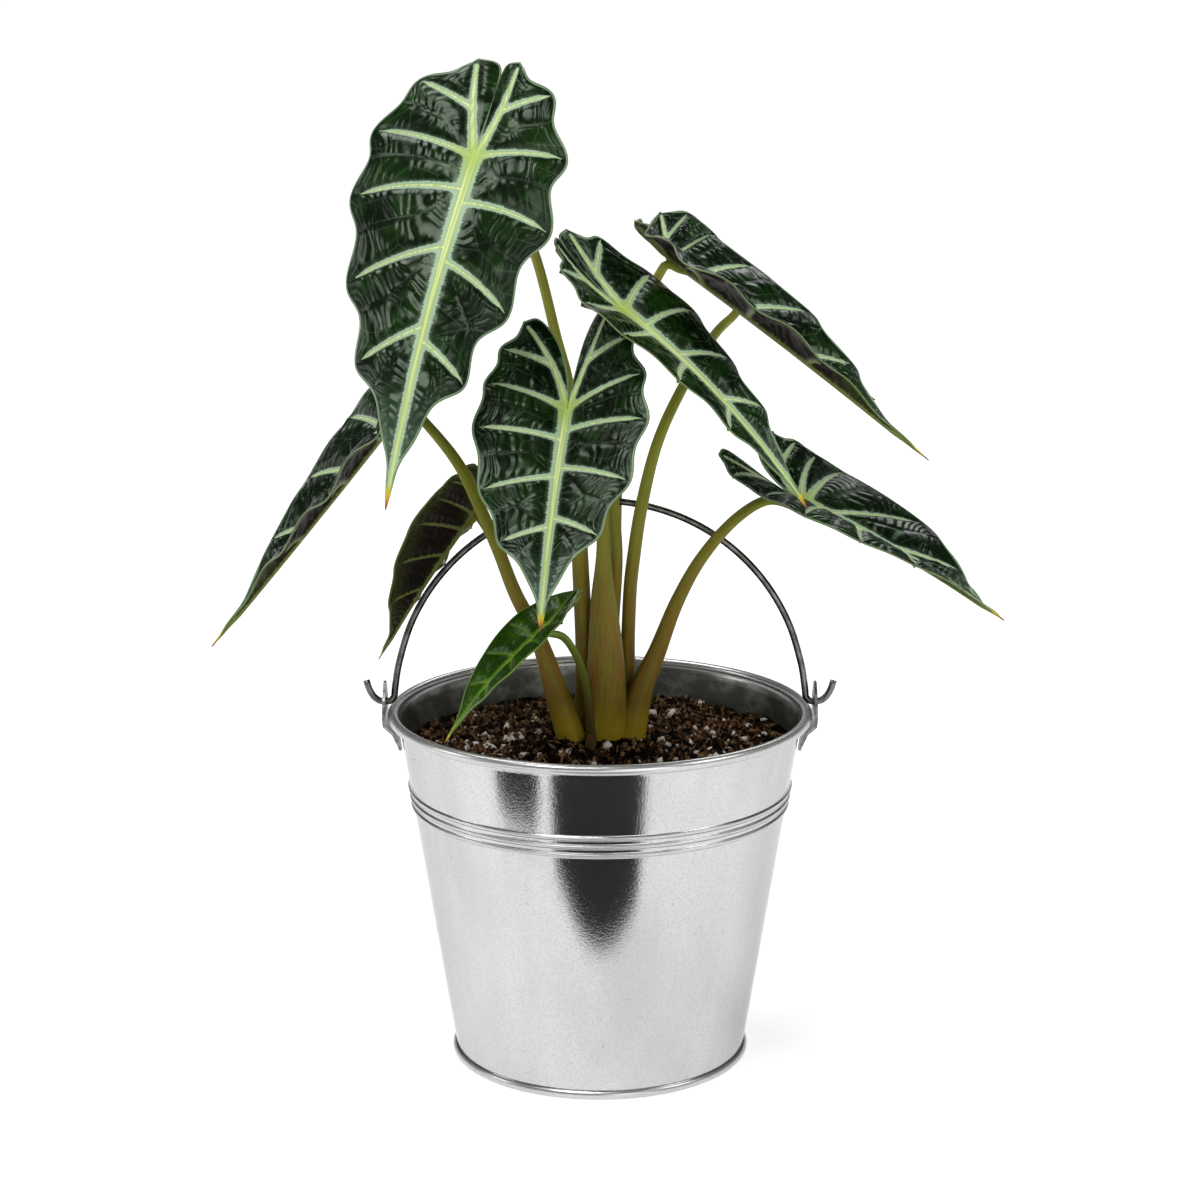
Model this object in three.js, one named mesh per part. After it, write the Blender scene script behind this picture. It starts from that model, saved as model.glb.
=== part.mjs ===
// Alocasia polly growing in a galvanised steel bucket with a wire bail.
// Millimetres, +Z up, origin on the bucket's axis at floor level.
// X runs to the right as the plant is seen from the front (-Y); the bail's ears are at -X and +X.
import * as THREE from 'three';

// Colours and finishes
const ZINC = { color: 0xb8babb, roughness: 0.32, metalness: 1 };
const WIRE = { color: 0x9fa1a2, roughness: 0.4, metalness: 1 };
const POTTING_MIX = { color: 0x2b1d14, roughness: 0.95, metalness: 0 };
const SHEATH = { color: 0x4f3420, roughness: 0.7, metalness: 0 };
const LEAF = { color: 0x16301b, roughness: 0.3, metalness: 0 };
const YOUNG_LEAF = { color: 0x3f7a2a, roughness: 0.35, metalness: 0 };
const STALK = { color: 0x6f7434, roughness: 0.5, metalness: 0 };

// Bucket
const RIM_RADIUS = 65;
const BUCKET_HEIGHT = 110;
const RIM_ROLL_RADIUS = 1.6;
const RIM_ROLL_ANGLES = [-70, -30, 10, 50, 90, 135, 180];
const WALL_RADIUS_AT_FLOOR = 44.6;
const WALL_TAPER = 0.16;
const WALL_THICKNESS = 0.8;
const WALL_FOOT = 1.3;
const BEAD_HEIGHTS = [80.8, 83.5, 86.2];
const BEAD_DEPTH = 0.6;
const BEAD_HALF_HEIGHT = 1.2;
const BASE_THICKNESS = 0.9;
const FOOT_RING_OUTER = 46.2;
const FOOT_RING_HEIGHT = 3;
const FOOT_RING_BEVEL = 0.7;
const ROUND_STEPS = 40;

// Ears and bail
const PIVOT_HEIGHT = 111.8;
const EAR_THICKNESS = 0.8;
const EAR_OFFSET = 65.5;
const EAR_HOLE_RADIUS = 1.8;
const BAIL_RADIUS = 62.7;
const BAIL_WIRE_RADIUS = 1;
const BAIL_LEAN_BACK = 8;
const BAIL_WIRE_SIDES = 8;
const BAIL_RING_SPACING = 7;
const BAIL_ARC_STEPS = 16;

// Ear rows from the bent-in tab up to the point: height, half width, distance
// from the bucket's axis; the hole lies in the three rows about the pivot
const EAR_TAB = [
  [96.4, 1.2, WALL_RADIUS_AT_FLOOR + WALL_TAPER * 96.4 + 0.9],
  [100, 4.5, WALL_RADIUS_AT_FLOOR + WALL_TAPER * 100 + 1.2],
  [103.2, 7, WALL_RADIUS_AT_FLOOR + WALL_TAPER * 103.2 + 1.7],
  [106, 8.4, EAR_OFFSET - 0.1],
  [108.4, 8.8, EAR_OFFSET],
];
const EAR_PLATE = [
  [PIVOT_HEIGHT - EAR_HOLE_RADIUS, 8.2, EAR_OFFSET],
  [PIVOT_HEIGHT, 7.4, EAR_OFFSET],
  [PIVOT_HEIGHT + EAR_HOLE_RADIUS, 6.3, EAR_OFFSET],
  [115.6, 4.2, EAR_OFFSET],
  [118, 1.2, EAR_OFFSET],
];

// The bail's curled end, from its tip outside the ear to the start of the arc
// inside it: distance from the bucket's axis, rise above the pivot
const BAIL_HOOK = [[69.7, 6.2], [69.5, 3.6], [68.9, 1.5], [67.6, 0.2], [65.9, 0], [64.1, 0.1],
  [63.1, 1.3], [62.75, 4.5]];

// Soil and rootstock
const SOIL_LEVEL = 98.6;
const SOIL_MOUND = 1.6;
const SOIL_EDGE_DIP = 0.6;
const SOIL_EDGE_BAND = 8;
const SOIL_HOLE_RADIUS = 16.4;
const SOIL_HOLE_FLOOR = 78;
const FIT_GAP = 0.35;
const CROWN_TOP = 100.4;
const CROWN_RADIUS = 16;

// Leaf blades: one outline for a half blade, as fractions of the length from
// the petiole to the tip; seven side veins end on it, from back lobe to tip
const BLADE_THICKNESS = 0.7;
const VEIN_ROOTS = [-1, -0.5, 0, 0.1, 0.27, 0.5, 0.74, 1];
const VEIN_ENDS = [[-0.33, 0.1], [-0.23, 0.215], [-0.06, 0.285], [0.14, 0.3],
  [0.39, 0.25], [0.62, 0.165], [0.82, 0.07], [1, 0]];
const NOTCH_EDGE = [[-0.33, 0.1], [-0.33, 0.045], [-0.25, 0.012], [-0.14, 0.002], [-0.04, 0]];
const LOBE_LENGTH = 0.33;
const LAST_VEIN = VEIN_ENDS.length - 1;
const JUNCTION_VEIN = 2;
const SCALLOP_DEPTH = 0.03;
const VEIN_BOW = 0.04;
const EDGE_WAVE = 0.8;
const CUP_WIDTH = 0.3;
const ROWS_PER_VEIN = 3;
const STEPS_ACROSS = 3;
const NOTCH_STEPS = 2;

// One entry a leaf. at: where the petiole meets it. heading, pitch and roll in
// degrees; heading is the way the tip points, pitch is down. left and right are
// the halves seen from the petiole: width factor, fold from back lobe to tip, cup.
const LEAVES = {
  upper_left: {
    at: [-36.4, -14, 278.5], heading: -116, pitch: 52, roll: -9, length: 110, lobe: 0.85, spread: -6,
    droop: 12, lobeDroop: -4, sideBend: 4,
    left: { width: 0.84, fold: [28, 0, -26, 10], cup: 37 },
    right: { width: 1.12, fold: [15, 9, -3, -4], cup: 27 },
  },
  centre: {
    at: [-9.6, -26, 206.4], heading: -98, pitch: 36, roll: 10, length: 86, lobe: 1.15, spread: 13,
    droop: -3, lobeDroop: -23, sideBend: 5,
    left: { width: 1.07, fold: [37, 21, 9, 20], cup: 10 },
    right: { width: 1.02, fold: [32, 29, 12, 26], cup: 7 },
  },
  middle_right: {
    at: [7.3, -14, 234], heading: -32, pitch: 30, roll: 33, length: 80, lobe: 1.1, spread: -7,
    droop: 27, lobeDroop: -34, sideBend: -6,
    left: { width: 0.9, fold: [-2, 0, -10, 23], cup: 35 },
    right: { width: 0.91, fold: [38, 28, 33, 26], cup: -32 },
  },
  upper_right: {
    at: [21.5, 6, 247], heading: -31, pitch: 30, roll: -29, length: 98, lobe: 0.4, spread: 5,
    droop: 2, lobeDroop: 28, sideBend: 12,
    left: { width: 1, fold: [65, 40, 43, 27], cup: 6 },
    right: { width: 0.8, fold: [20, 8, 17, 19], cup: 27 },
  },
  lower_right: {
    at: [61, -4, 175.4], heading: -32, pitch: 18, roll: -13, length: 75, lobe: 1.16, spread: 11,
    droop: 8, lobeDroop: -21, sideBend: -9,
    left: { width: 1.17, fold: [46, 35, 28, 20], cup: 13 },
    right: { width: 0.89, fold: [-5, 9, 11, 25], cup: 30 },
  },
  far_left: {
    at: [-59.8, 16, 201], heading: 199, pitch: 50, roll: 13, length: 94, lobe: 1, spread: 0,
    droop: -2, lobeDroop: 10, sideBend: 0,
    left: { width: 0.94, fold: [25, 21, 21, 36], cup: 24 },
    right: { width: 0.96, fold: [30, 32, 32, 30], cup: 19 },
  },
  lower_left: {
    at: [-39.6, 20, 166.5], heading: 169, pitch: 54, roll: 4, length: 59, lobe: 0.92, spread: 11,
    droop: 5, lobeDroop: -29, sideBend: -11,
    left: { width: 1.24, fold: [30, 30, 27, 10], cup: -3 },
    right: { width: 0.82, fold: [37, 12, 10, 17], cup: 17 },
  },
  young_front: {
    at: [-16.2, -30, 142.2], heading: -157, pitch: 35, roll: 2, length: 45, lobe: 1.02, spread: 0,
    droop: 20, lobeDroop: -8, sideBend: -3,
    left: { width: 1.04, fold: [37, 23, 17, 12], cup: 18 },
    right: { width: 0.97, fold: [8, 25, 20, 7], cup: 13 },
  },
  hidden_back: {
    at: [44.9, 44, 228.8], heading: -12, pitch: 33, roll: -18, length: 51, lobe: 0.84, spread: 23,
    droop: 4, lobeDroop: -6, sideBend: 0,
    left: { width: 0.85, fold: [14, 15, 15, 12], cup: 12 },
    right: { width: 0.85, fold: [14, 15, 14, 12], cup: 10 },
  },
};

// One entry a petiole, from its sheath on the rootstock to just under its
// blade: x, y, z and radius at each point
const PETIOLES = {
  upper_left: [[-5.8, 0.5, 100.8, 3], [-5, -1.5, 115.5, 2.8], [-5, -3.5, 132, 2.7], [-6, -5, 157, 2.6],
    [-7, -5, 181.5, 2.1], [-9, -3, 208, 1.7], [-13, -2, 224.5, 1.6], [-19.5, -4, 250, 1.5],
    [-28, -7, 267, 1.4]],
  centre: [[1.2, -4.5, 100.8, 1.4], [1.5, -7, 114, 4.4], [1.5, -8, 130, 4.3], [1, -9, 145.5, 3.2],
    [1, -10.5, 161.5, 2.2], [0.5, -11.5, 177, 2], [-2, -14, 191.5, 1.8], [-6, -19, 200.5, 1.7]],
  middle_right: [[3.9, 5.2, 100.8, 2.6], [3.5, 1, 127.5, 2], [5, -4.5, 157, 1.9], [4, -5.5, 175.5, 1.8],
    [3.5, -6, 200, 1.7], [4.5, -7, 221, 1.6], [5.8, -9.5, 228, 1.5]],
  upper_right: [[1.5, 11.2, 100.8, 2.4], [3.5, 11.5, 128, 2.2], [4.5, 12, 153.5, 2], [5, 12.5, 175, 1.9],
    [6.5, 11.5, 203, 1.7], [10, 10, 228, 1.6], [17, 8.5, 240.5, 1.5]],
  lower_right: [[8.5, -4, 100.8, 4.1], [12.5, -4, 116.5, 3.5], [17.5, -4, 128.8, 2.8],
    [23.5, -4.5, 144.5, 2.2], [31, -4.5, 158.2, 1.9], [41, -2, 169.2, 1.7], [51, 0.5, 174.5, 1.6]],
  far_left: [[-8.5, -6, 100.8, 3.2], [-13.5, -7, 117, 3], [-18.5, -7.5, 133, 2.6], [-25.5, -8, 147.5, 2.2],
    [-30.5, -7, 160.5, 2], [-36.5, -4, 174, 1.9], [-42.5, 0, 185.5, 1.8], [-51, 7, 195, 1.6]],
  lower_left: [[-7.5, 9.8, 100.8, 2.2], [-13.5, 11, 112.5, 1.9], [-18.5, 12.5, 127, 1.6],
    [-25.5, 14, 141.5, 1.4], [-31.5, 15.5, 155, 1.3], [-35, 16.5, 162, 1.2]],
  young_front: [[-2, -9.5, 100.8, 1.6], [-3.5, -11, 115.5, 1.4], [-5.5, -14, 125.5, 1.3],
    [-8, -18, 132.5, 1.2], [-11, -22, 137.5, 1.2]],
  hidden_back: [[10, 6, 100.8, 2.8], [8.5, 2, 122.5, 2.2], [8.9, -1.3, 144, 2.2],
    [10, -4.5, 157.2, 2.4], [12.5, -6, 174.4, 2.4], [17, -4, 192.4, 2.2], [24, 3, 207, 2],
    [34, 16, 221.5, 1.7], [41, 32, 226, 1.6]],
};
const PETIOLE_SIDES = 9;
const PETIOLE_RING_SPACING = 9;

// Withered sheath stub in front of the cluster
const STUB = [[-2.6, -13.4, 100.8, 1.9], [-2.9, -13.9, 103, 1.5], [-3.3, -14.4, 105, 0.6]];

const radians = THREE.MathUtils.degToRad;

// Points on a smooth curve through a list of points, at u from 0 to the last index
function along(points, u) {
  const last = points.length - 1;
  const i = Math.min(Math.floor(Math.max(u, 0)), last - 1);
  const f = Math.min(Math.max(u, 0), last) - i;
  const before = points[i - 1] ?? points[0].map((c, k) => 2 * c - points[1][k]);
  const after = points[i + 2] ?? points[last].map((c, k) => 2 * c - points[last - 1][k]);
  return points[i].map((b, k) => {
    const [a, c, d] = [before[k], points[i + 1][k], after[k]];
    return 0.5 * (2 * b + (c - a) * f + (2 * a - 5 * b + 4 * c - d) * f ** 2
      + (3 * b - a - 3 * c + d) * f ** 3);
  });
}

// Straight-line value in a list at a fractional index
function between(list, u) {
  const i = Math.min(Math.floor(u), list.length - 2);
  return list[i] + (list[i + 1] - list[i]) * (u - i);
}

// Vertices and triangles gathered into one closed mesh; equal points are shared
class Surface {
  constructor() {
    this.points = [];
    this.faces = [];
    this.seen = new Map();
  }

  point(p) {
    const key = p.map((c) => Math.round(c * 1e4)).join(',');
    if (!this.seen.has(key)) {
      this.seen.set(key, this.points.length);
      this.points.push(p);
    }
    return this.seen.get(key);
  }

  face(a, b, c) {
    if (a !== b && b !== c && c !== a) {
      this.faces.push([a, b, c]);
    }
  }

  quad(a, b, c, d) {
    this.face(a, b, c);
    this.face(a, c, d);
  }

  grid(rows) {
    for (let i = 0; i + 1 < rows.length; i += 1) {
      for (let j = 0; j + 1 < rows[i].length; j += 1) {
        this.quad(rows[i][j], rows[i + 1][j], rows[i + 1][j + 1], rows[i][j + 1]);
      }
    }
  }

  mesh(name, look) {
    const geometry = new THREE.BufferGeometry();
    geometry.setAttribute('position', new THREE.Float32BufferAttribute(this.points.flat(), 3));
    geometry.setIndex(this.faces.flat());
    geometry.computeVertexNormals();
    const result = new THREE.Mesh(geometry, new THREE.MeshStandardMaterial(look));
    result.name = name;
    return result;
  }
}

// A sheet turned into a solid: its back is the sheet moved in by the thickness
function thicken(sheet, thickness) {
  const normals = sheet.points.map(() => new THREE.Vector3());
  const edges = new Map();
  for (const face of sheet.faces) {
    const [a, b, c] = face.map((i) => new THREE.Vector3(...sheet.points[i]));
    const normal = b.sub(a).cross(c.sub(a)).normalize();
    face.forEach((vertex, k) => {
      normals[vertex].add(normal);
      const next = face[(k + 1) % 3];
      const twin = `${next},${vertex}`;
      if (edges.has(twin)) {
        edges.delete(twin);
      } else {
        edges.set(`${vertex},${next}`, [vertex, next]);
      }
    });
  }
  const solid = new Surface();
  solid.points = sheet.points.slice();
  solid.faces = sheet.faces.slice();
  const count = sheet.points.length;
  normals.forEach((normal, i) => {
    normal.normalize().multiplyScalar(-thickness);
    const [x, y, z] = sheet.points[i];
    solid.points.push([x + normal.x, y + normal.y, z + normal.z]);
  });
  for (const [a, b, c] of sheet.faces) {
    solid.faces.push([a + count, c + count, b + count]);
  }
  for (const [a, b] of edges.values()) {
    solid.quad(b, a, a + count, b + count);
  }
  return solid;
}

// A solid of revolution about Z from a closed outline of [radius, height],
// listed with the material on its left
function turned(name, look, outline) {
  const solid = new Surface();
  const rows = [];
  for (let i = 0; i <= ROUND_STEPS; i += 1) {
    const turn = (2 * Math.PI * (i % ROUND_STEPS)) / ROUND_STEPS;
    rows.push([...outline, outline[0]].map(([radius, z]) => solid.point(
      [radius * Math.cos(turn), radius * Math.sin(turn), z])));
  }
  solid.grid(rows);
  return solid.mesh(name, look);
}

// A round bar along a smooth path of [x, y, z, radius]. ends.across is a
// direction square to the path; ends.flatStart levels the first ring
function bar(name, look, path, sides, spacing, ends) {
  const solid = new Surface();
  const samples = [];
  for (let i = 0; i + 1 < path.length; i += 1) {
    const length = Math.hypot(...[0, 1, 2].map((k) => path[i + 1][k] - path[i][k]));
    const steps = Math.max(1, Math.round(length / spacing));
    for (let s = 0; s < steps; s += 1) {
      samples.push(along(path, i + s / steps));
    }
  }
  samples.push(path[path.length - 1]);
  const centres = samples.map(([x, y, z]) => new THREE.Vector3(x, y, z));
  let across = new THREE.Vector3(...ends.across);
  const rows = samples.map((sample, i) => {
    const behind = centres[Math.max(i - 1, 0)];
    const ahead = centres[Math.min(i + 1, centres.length - 1)];
    const tangent = i === 0 && ends.flatStart
      ? new THREE.Vector3(0, 0, 1) : ahead.clone().sub(behind).normalize();
    const side = tangent.clone().cross(across).normalize();
    across = side.clone().cross(tangent).normalize();
    const ring = [];
    for (let k = 0; k <= sides; k += 1) {
      const turn = (2 * Math.PI * (k % sides)) / sides;
      const point = centres[i].clone()
        .addScaledVector(across, sample[3] * Math.cos(turn))
        .addScaledVector(side, -sample[3] * Math.sin(turn));
      ring.push(solid.point(point.toArray()));
    }
    return ring;
  });
  solid.grid(rows);
  const first = solid.point(centres[0].toArray());
  const last = solid.point(centres[centres.length - 1].toArray());
  for (let k = 0; k < sides; k += 1) {
    solid.face(first, rows[0][k], rows[0][k + 1]);
    solid.face(last, rows[rows.length - 1][k + 1], rows[rows.length - 1][k]);
  }
  return solid.mesh(name, look);
}

// Flat half blade of unit length: v counts side veins from the lobe tip to the
// leaf tip, t runs from the spine of the half (0) to its edge (1)
function flatBlade(v, t) {
  const root = between(VEIN_ROOTS, v);
  const lobeTip = VEIN_ENDS[0];
  const start = root < 0 ? lobeTip.map((c) => -root * c) : [root, 0];
  const end = along(VEIN_ENDS, v);
  const ahead = along(VEIN_ENDS, Math.min(v + 0.01, LAST_VEIN));
  const behind = along(VEIN_ENDS, Math.max(v - 0.01, 0));
  const step = [ahead[0] - behind[0], ahead[1] - behind[1]];
  const size = Math.hypot(...step);
  const dent = SCALLOP_DEPTH * 0.5 * (1 - Math.cos(2 * Math.PI * v)) * Math.min((LAST_VEIN - v) / 2, 1);
  const edge = [end[0] + (dent * step[1]) / size, end[1] - (dent * step[0]) / size];
  const reach = [edge[0] - start[0], edge[1] - start[1]];
  const bow = VEIN_BOW * 4 * t * (1 - t) * Math.min(v / 2, 1) * Math.min(LAST_VEIN - v, 1);
  return [start[0] + reach[0] * t - reach[1] * bow, start[1] + reach[1] * t];
}

// A flat point of a half blade bent to the leaf's own shape, in the leaf's
// frame: x to the tip, y to the left half, z out of the upper face
function bentBlade(leaf, side, flat, v, t) {
  const half = side > 0 ? leaf.left : leaf.right;
  const backness = Math.min(Math.max(-flat[0] / LOBE_LENGTH, 0), 1);
  const swing = radians(leaf.spread) * backness;
  const turnedX = flat[0] * Math.cos(swing) + flat[1] * Math.sin(swing);
  const turnedY = flat[0] < 0 ? flat[1] * Math.cos(swing) - flat[0] * Math.sin(swing) : flat[1];
  const x = turnedX * leaf.length * (turnedX < 0 ? leaf.lobe : 1);
  const y = Math.max(turnedY, 0) * leaf.length * half.width;
  const foldAt = radians(along(half.fold.map((f) => [f]), (v / LAST_VEIN) * 3)[0]);
  const fold = foldAt - (radians(half.cup) * y) / (CUP_WIDTH * leaf.length * 2);
  const across = y * Math.cos(fold);
  const rise = y * Math.sin(fold) - EDGE_WAVE * Math.cos(2 * Math.PI * v) * t * t;
  const bendLength = x < 0 ? LOBE_LENGTH * leaf.length : leaf.length;
  const bend = radians(x < 0 ? leaf.lobeDroop : leaf.droop) / bendLength || 1e-6;
  const angle = bend * Math.abs(x);
  const way = Math.sign(x);
  const sweep = x > 0 ? (radians(leaf.sideBend) / leaf.length) * x * x * 0.5 : 0;
  return [
    way * (Math.sin(angle) / bend + rise * Math.sin(angle)),
    side * across + sweep,
    rise * Math.cos(angle) - (1 - Math.cos(angle)) / bend,
  ];
}

// The leaf's frame as three unit vectors
function leafAxes(leaf) {
  const [heading, pitch, roll] = [leaf.heading, leaf.pitch, leaf.roll].map(radians);
  const ahead = new THREE.Vector3(
    Math.cos(heading) * Math.cos(pitch), Math.sin(heading) * Math.cos(pitch), -Math.sin(pitch));
  const level = new THREE.Vector3(-Math.sin(heading), Math.cos(heading), 0);
  const up = ahead.clone().cross(level);
  const left = level.clone().multiplyScalar(Math.cos(roll)).addScaledVector(up, Math.sin(roll));
  return [ahead, left, ahead.clone().cross(left)];
}

function placed(leaf, axes, local) {
  const point = new THREE.Vector3(...leaf.at);
  axes.forEach((axis, k) => point.addScaledVector(axis, local[k]));
  return point.toArray();
}

function blade(name, look, leaf) {
  const sheet = new Surface();
  const axes = leafAxes(leaf);
  for (const side of [1, -1]) {
    const vertex = (flat, v, t) => sheet.point(placed(leaf, axes, bentBlade(leaf, side, flat, v, t)));
    const outer = [];
    for (let row = 0; row <= LAST_VEIN * ROWS_PER_VEIN; row += 1) {
      const v = row / ROWS_PER_VEIN;
      const line = [];
      for (let step = 0; step <= STEPS_ACROSS; step += 1) {
        const t = v === 0 || v === LAST_VEIN ? 0 : step / STEPS_ACROSS;
        line.push(vertex(flatBlade(v, t), v, t));
      }
      outer.push(line);
    }
    const inner = [];
    for (let row = 0; row <= JUNCTION_VEIN * ROWS_PER_VEIN; row += 1) {
      const v = row / ROWS_PER_VEIN;
      const spine = flatBlade(v, 0);
      const notch = along(NOTCH_EDGE, (v / JUNCTION_VEIN) * (NOTCH_EDGE.length - 1));
      const line = [];
      for (let step = 0; step <= NOTCH_STEPS; step += 1) {
        const s = v === 0 ? 0 : step / NOTCH_STEPS;
        line.push(vertex([0, 1].map((k) => notch[k] + (spine[k] - notch[k]) * (v === 0 ? 1 : s)), v, 0));
      }
      inner.push(line);
    }
    for (const rows of [outer, inner]) {
      sheet.grid(side > 0 ? rows : rows.map((line) => line.slice().reverse()));
    }
  }
  return thicken(sheet, BLADE_THICKNESS).mesh(name, look);
}

function wallRadius(z) {
  return WALL_RADIUS_AT_FLOOR + WALL_TAPER * z;
}

// Tapered wall with a rolled rim and three pressed beads
function bucketWall() {
  const outer = [[wallRadius(WALL_FOOT), WALL_FOOT]];
  for (const z of BEAD_HEIGHTS) {
    outer.push([wallRadius(z - BEAD_HALF_HEIGHT), z - BEAD_HALF_HEIGHT]);
    outer.push([wallRadius(z) + BEAD_DEPTH, z - BEAD_HALF_HEIGHT / 2]);
    outer.push([wallRadius(z) + BEAD_DEPTH, z + BEAD_HALF_HEIGHT / 2]);
  }
  const beadTop = BEAD_HEIGHTS[BEAD_HEIGHTS.length - 1] + BEAD_HALF_HEIGHT;
  outer.push([wallRadius(beadTop), beadTop]);
  const rollCentre = [RIM_RADIUS - RIM_ROLL_RADIUS, BUCKET_HEIGHT - RIM_ROLL_RADIUS];
  const rollStart = BUCKET_HEIGHT - 3 * RIM_ROLL_RADIUS;
  outer.push([wallRadius(rollStart), rollStart]);
  const roll = RIM_ROLL_ANGLES.map((degrees) => [
    rollCentre[0] + RIM_ROLL_RADIUS * Math.cos(radians(degrees)),
    rollCentre[1] + RIM_ROLL_RADIUS * Math.sin(radians(degrees)),
  ]);
  const inner = outer.slice().reverse().map(([radius, z]) => [radius - WALL_THICKNESS, z]);
  return turned('bucket_wall', ZINC, [...outer, ...roll, ...inner]);
}

// Base disc with the rolled ring that the wall stands in
function bucketBase() {
  const wallFoot = wallRadius(WALL_FOOT);
  return turned('bucket_base', ZINC, [
    [0, BASE_THICKNESS],
    [0, 0],
    [FOOT_RING_OUTER - FOOT_RING_BEVEL, 0],
    [FOOT_RING_OUTER, FOOT_RING_BEVEL],
    [FOOT_RING_OUTER, FOOT_RING_HEIGHT - FOOT_RING_BEVEL],
    [FOOT_RING_OUTER - FOOT_RING_BEVEL, FOOT_RING_HEIGHT],
    [wallRadius(FOOT_RING_HEIGHT) + FIT_GAP, FOOT_RING_HEIGHT],
    [wallFoot + FIT_GAP, BASE_THICKNESS],
  ]);
}

// Soil to just under the rim, mounded in the middle, with a hole for the rootstock
function soil() {
  const clear = WALL_THICKNESS + FIT_GAP + 0.1;
  const bottom = BASE_THICKNESS + FIT_GAP;
  const edge = wallRadius(SOIL_LEVEL) - clear;
  return turned('soil', POTTING_MIX, [
    [wallRadius(bottom) - clear, bottom],
    [edge, SOIL_LEVEL - SOIL_EDGE_DIP],
    [edge - SOIL_EDGE_BAND, SOIL_LEVEL],
    [edge * 0.55, SOIL_LEVEL + SOIL_MOUND * 0.6],
    [SOIL_HOLE_RADIUS, SOIL_LEVEL + SOIL_MOUND],
    [SOIL_HOLE_RADIUS, SOIL_HOLE_FLOOR],
    [0, SOIL_HOLE_FLOOR],
    [0, bottom],
  ]);
}

// Rootstock that the sheaths grow from
function rootstock() {
  return turned('rootstock', SHEATH, [
    [0, SOIL_HOLE_FLOOR + FIT_GAP],
    [CROWN_RADIUS * 0.55, SOIL_HOLE_FLOOR + 1.5],
    [CROWN_RADIUS * 0.9, SOIL_HOLE_FLOOR + 8],
    [CROWN_RADIUS, CROWN_TOP - 6],
    [CROWN_RADIUS, CROWN_TOP - 0.8],
    [CROWN_RADIUS - 1.5, CROWN_TOP],
    [0, CROWN_TOP],
  ]);
}

// Sheet-metal ear: a pointed oval standing over the rim, its lower tab bent in
// to the wall, with a hole for the bail
function ear(name, side) {
  const sheet = new Surface();
  const h = EAR_HOLE_RADIUS;
  const diagonal = h * Math.SQRT1_2;
  const lines = [...EAR_TAB, ...EAR_PLATE].map(([z, halfWidth, x]) => {
    const offset = z - PIVOT_HEIGHT;
    const inHole = Math.abs(offset) < 1.1 * h;
    return [-1, -0.5, 0, 0.5, 1].map((share) => {
      if (!inHole || Math.abs(share) === 1) {
        return sheet.point([side * x, halfWidth * share, z]);
      }
      const onRow = Math.abs(offset) > 0.1;
      const corner = onRow && share !== 0;
      const y = corner ? 2 * share * diagonal : 2 * share * h;
      const height = corner ? PIVOT_HEIGHT + Math.sign(offset) * diagonal : z;
      return sheet.point([side * x, y, height]);
    });
  });
  const holeRow = EAR_TAB.length;
  for (let i = 0; i + 1 < lines.length; i += 1) {
    for (let j = 0; j < 4; j += 1) {
      const isHole = (i === holeRow || i === holeRow + 1) && (j === 1 || j === 2);
      if (!isHole) {
        const corners = [lines[i][j], lines[i][j + 1], lines[i + 1][j + 1], lines[i + 1][j]];
        sheet.quad(...(side > 0 ? corners.reverse() : corners));
      }
    }
  }
  return thicken(sheet, EAR_THICKNESS).mesh(name, ZINC);
}

// Half-round wire handle whose ends pass out through the ears and curl up
function bail() {
  const arc = [];
  for (let i = 1; i < BAIL_ARC_STEPS; i += 1) {
    const turn = (Math.PI * i) / BAIL_ARC_STEPS;
    arc.push([BAIL_RADIUS * Math.cos(turn), BAIL_RADIUS * Math.sin(turn)]);
  }
  const farHook = BAIL_HOOK.slice().reverse().map(([x, rise]) => [-x, rise]);
  const outline = [...BAIL_HOOK, ...arc, ...farHook];
  const lean = radians(BAIL_LEAN_BACK);
  const path = outline.map(([x, rise]) => [
    x, rise * Math.sin(lean), PIVOT_HEIGHT + rise * Math.cos(lean), BAIL_WIRE_RADIUS]);
  return bar('bail', WIRE, path, BAIL_WIRE_SIDES, BAIL_RING_SPACING,
    { across: [0, 1, 0], flatStart: false });
}

// A petiole's path carried on to just under its blade
function petiolePath(points, leaf) {
  const up = leafAxes(leaf)[2];
  const [x, y, z, radius] = points[points.length - 1];
  const arrival = new THREE.Vector3(...leaf.at).sub(new THREE.Vector3(x, y, z)).normalize();
  const slant = Math.sqrt(1 - arrival.dot(up) ** 2);
  const stop = new THREE.Vector3(...leaf.at)
    .addScaledVector(up, -(BLADE_THICKNESS + FIT_GAP + radius * slant));
  return [...points, [...stop.toArray(), radius]];
}

function stalk(name, look, path) {
  return bar(name, look, path, PETIOLE_SIDES, PETIOLE_RING_SPACING,
    { across: [1, 0, 0], flatStart: true });
}

const bucket = new THREE.Group();
bucket.add(bucketWall(), bucketBase(), ear('ear_left', -1), ear('ear_right', 1), bail(), soil());

const plant = new THREE.Group();
plant.add(rootstock(), stalk('sheath_stub', SHEATH, STUB));
for (const [place, leaf] of Object.entries(LEAVES)) {
  plant.add(blade(`blade_${place}`, place === 'young_front' ? YOUNG_LEAF : LEAF, leaf));
  plant.add(stalk(`petiole_${place}`, STALK, petiolePath(PETIOLES[place], leaf)));
}

const pottedPlant = new THREE.Group();
pottedPlant.name = 'potted_alocasia';
pottedPlant.add(bucket, plant);

export default pottedPlant;
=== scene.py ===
"""Potted alocasia polly in a galvanised bucket: its visible surfaces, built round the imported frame.

Shapes are worked out in millimetres in the frame's own axes and written to the meshes in metres.
"""

import math
from typing import NamedTuple

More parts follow.
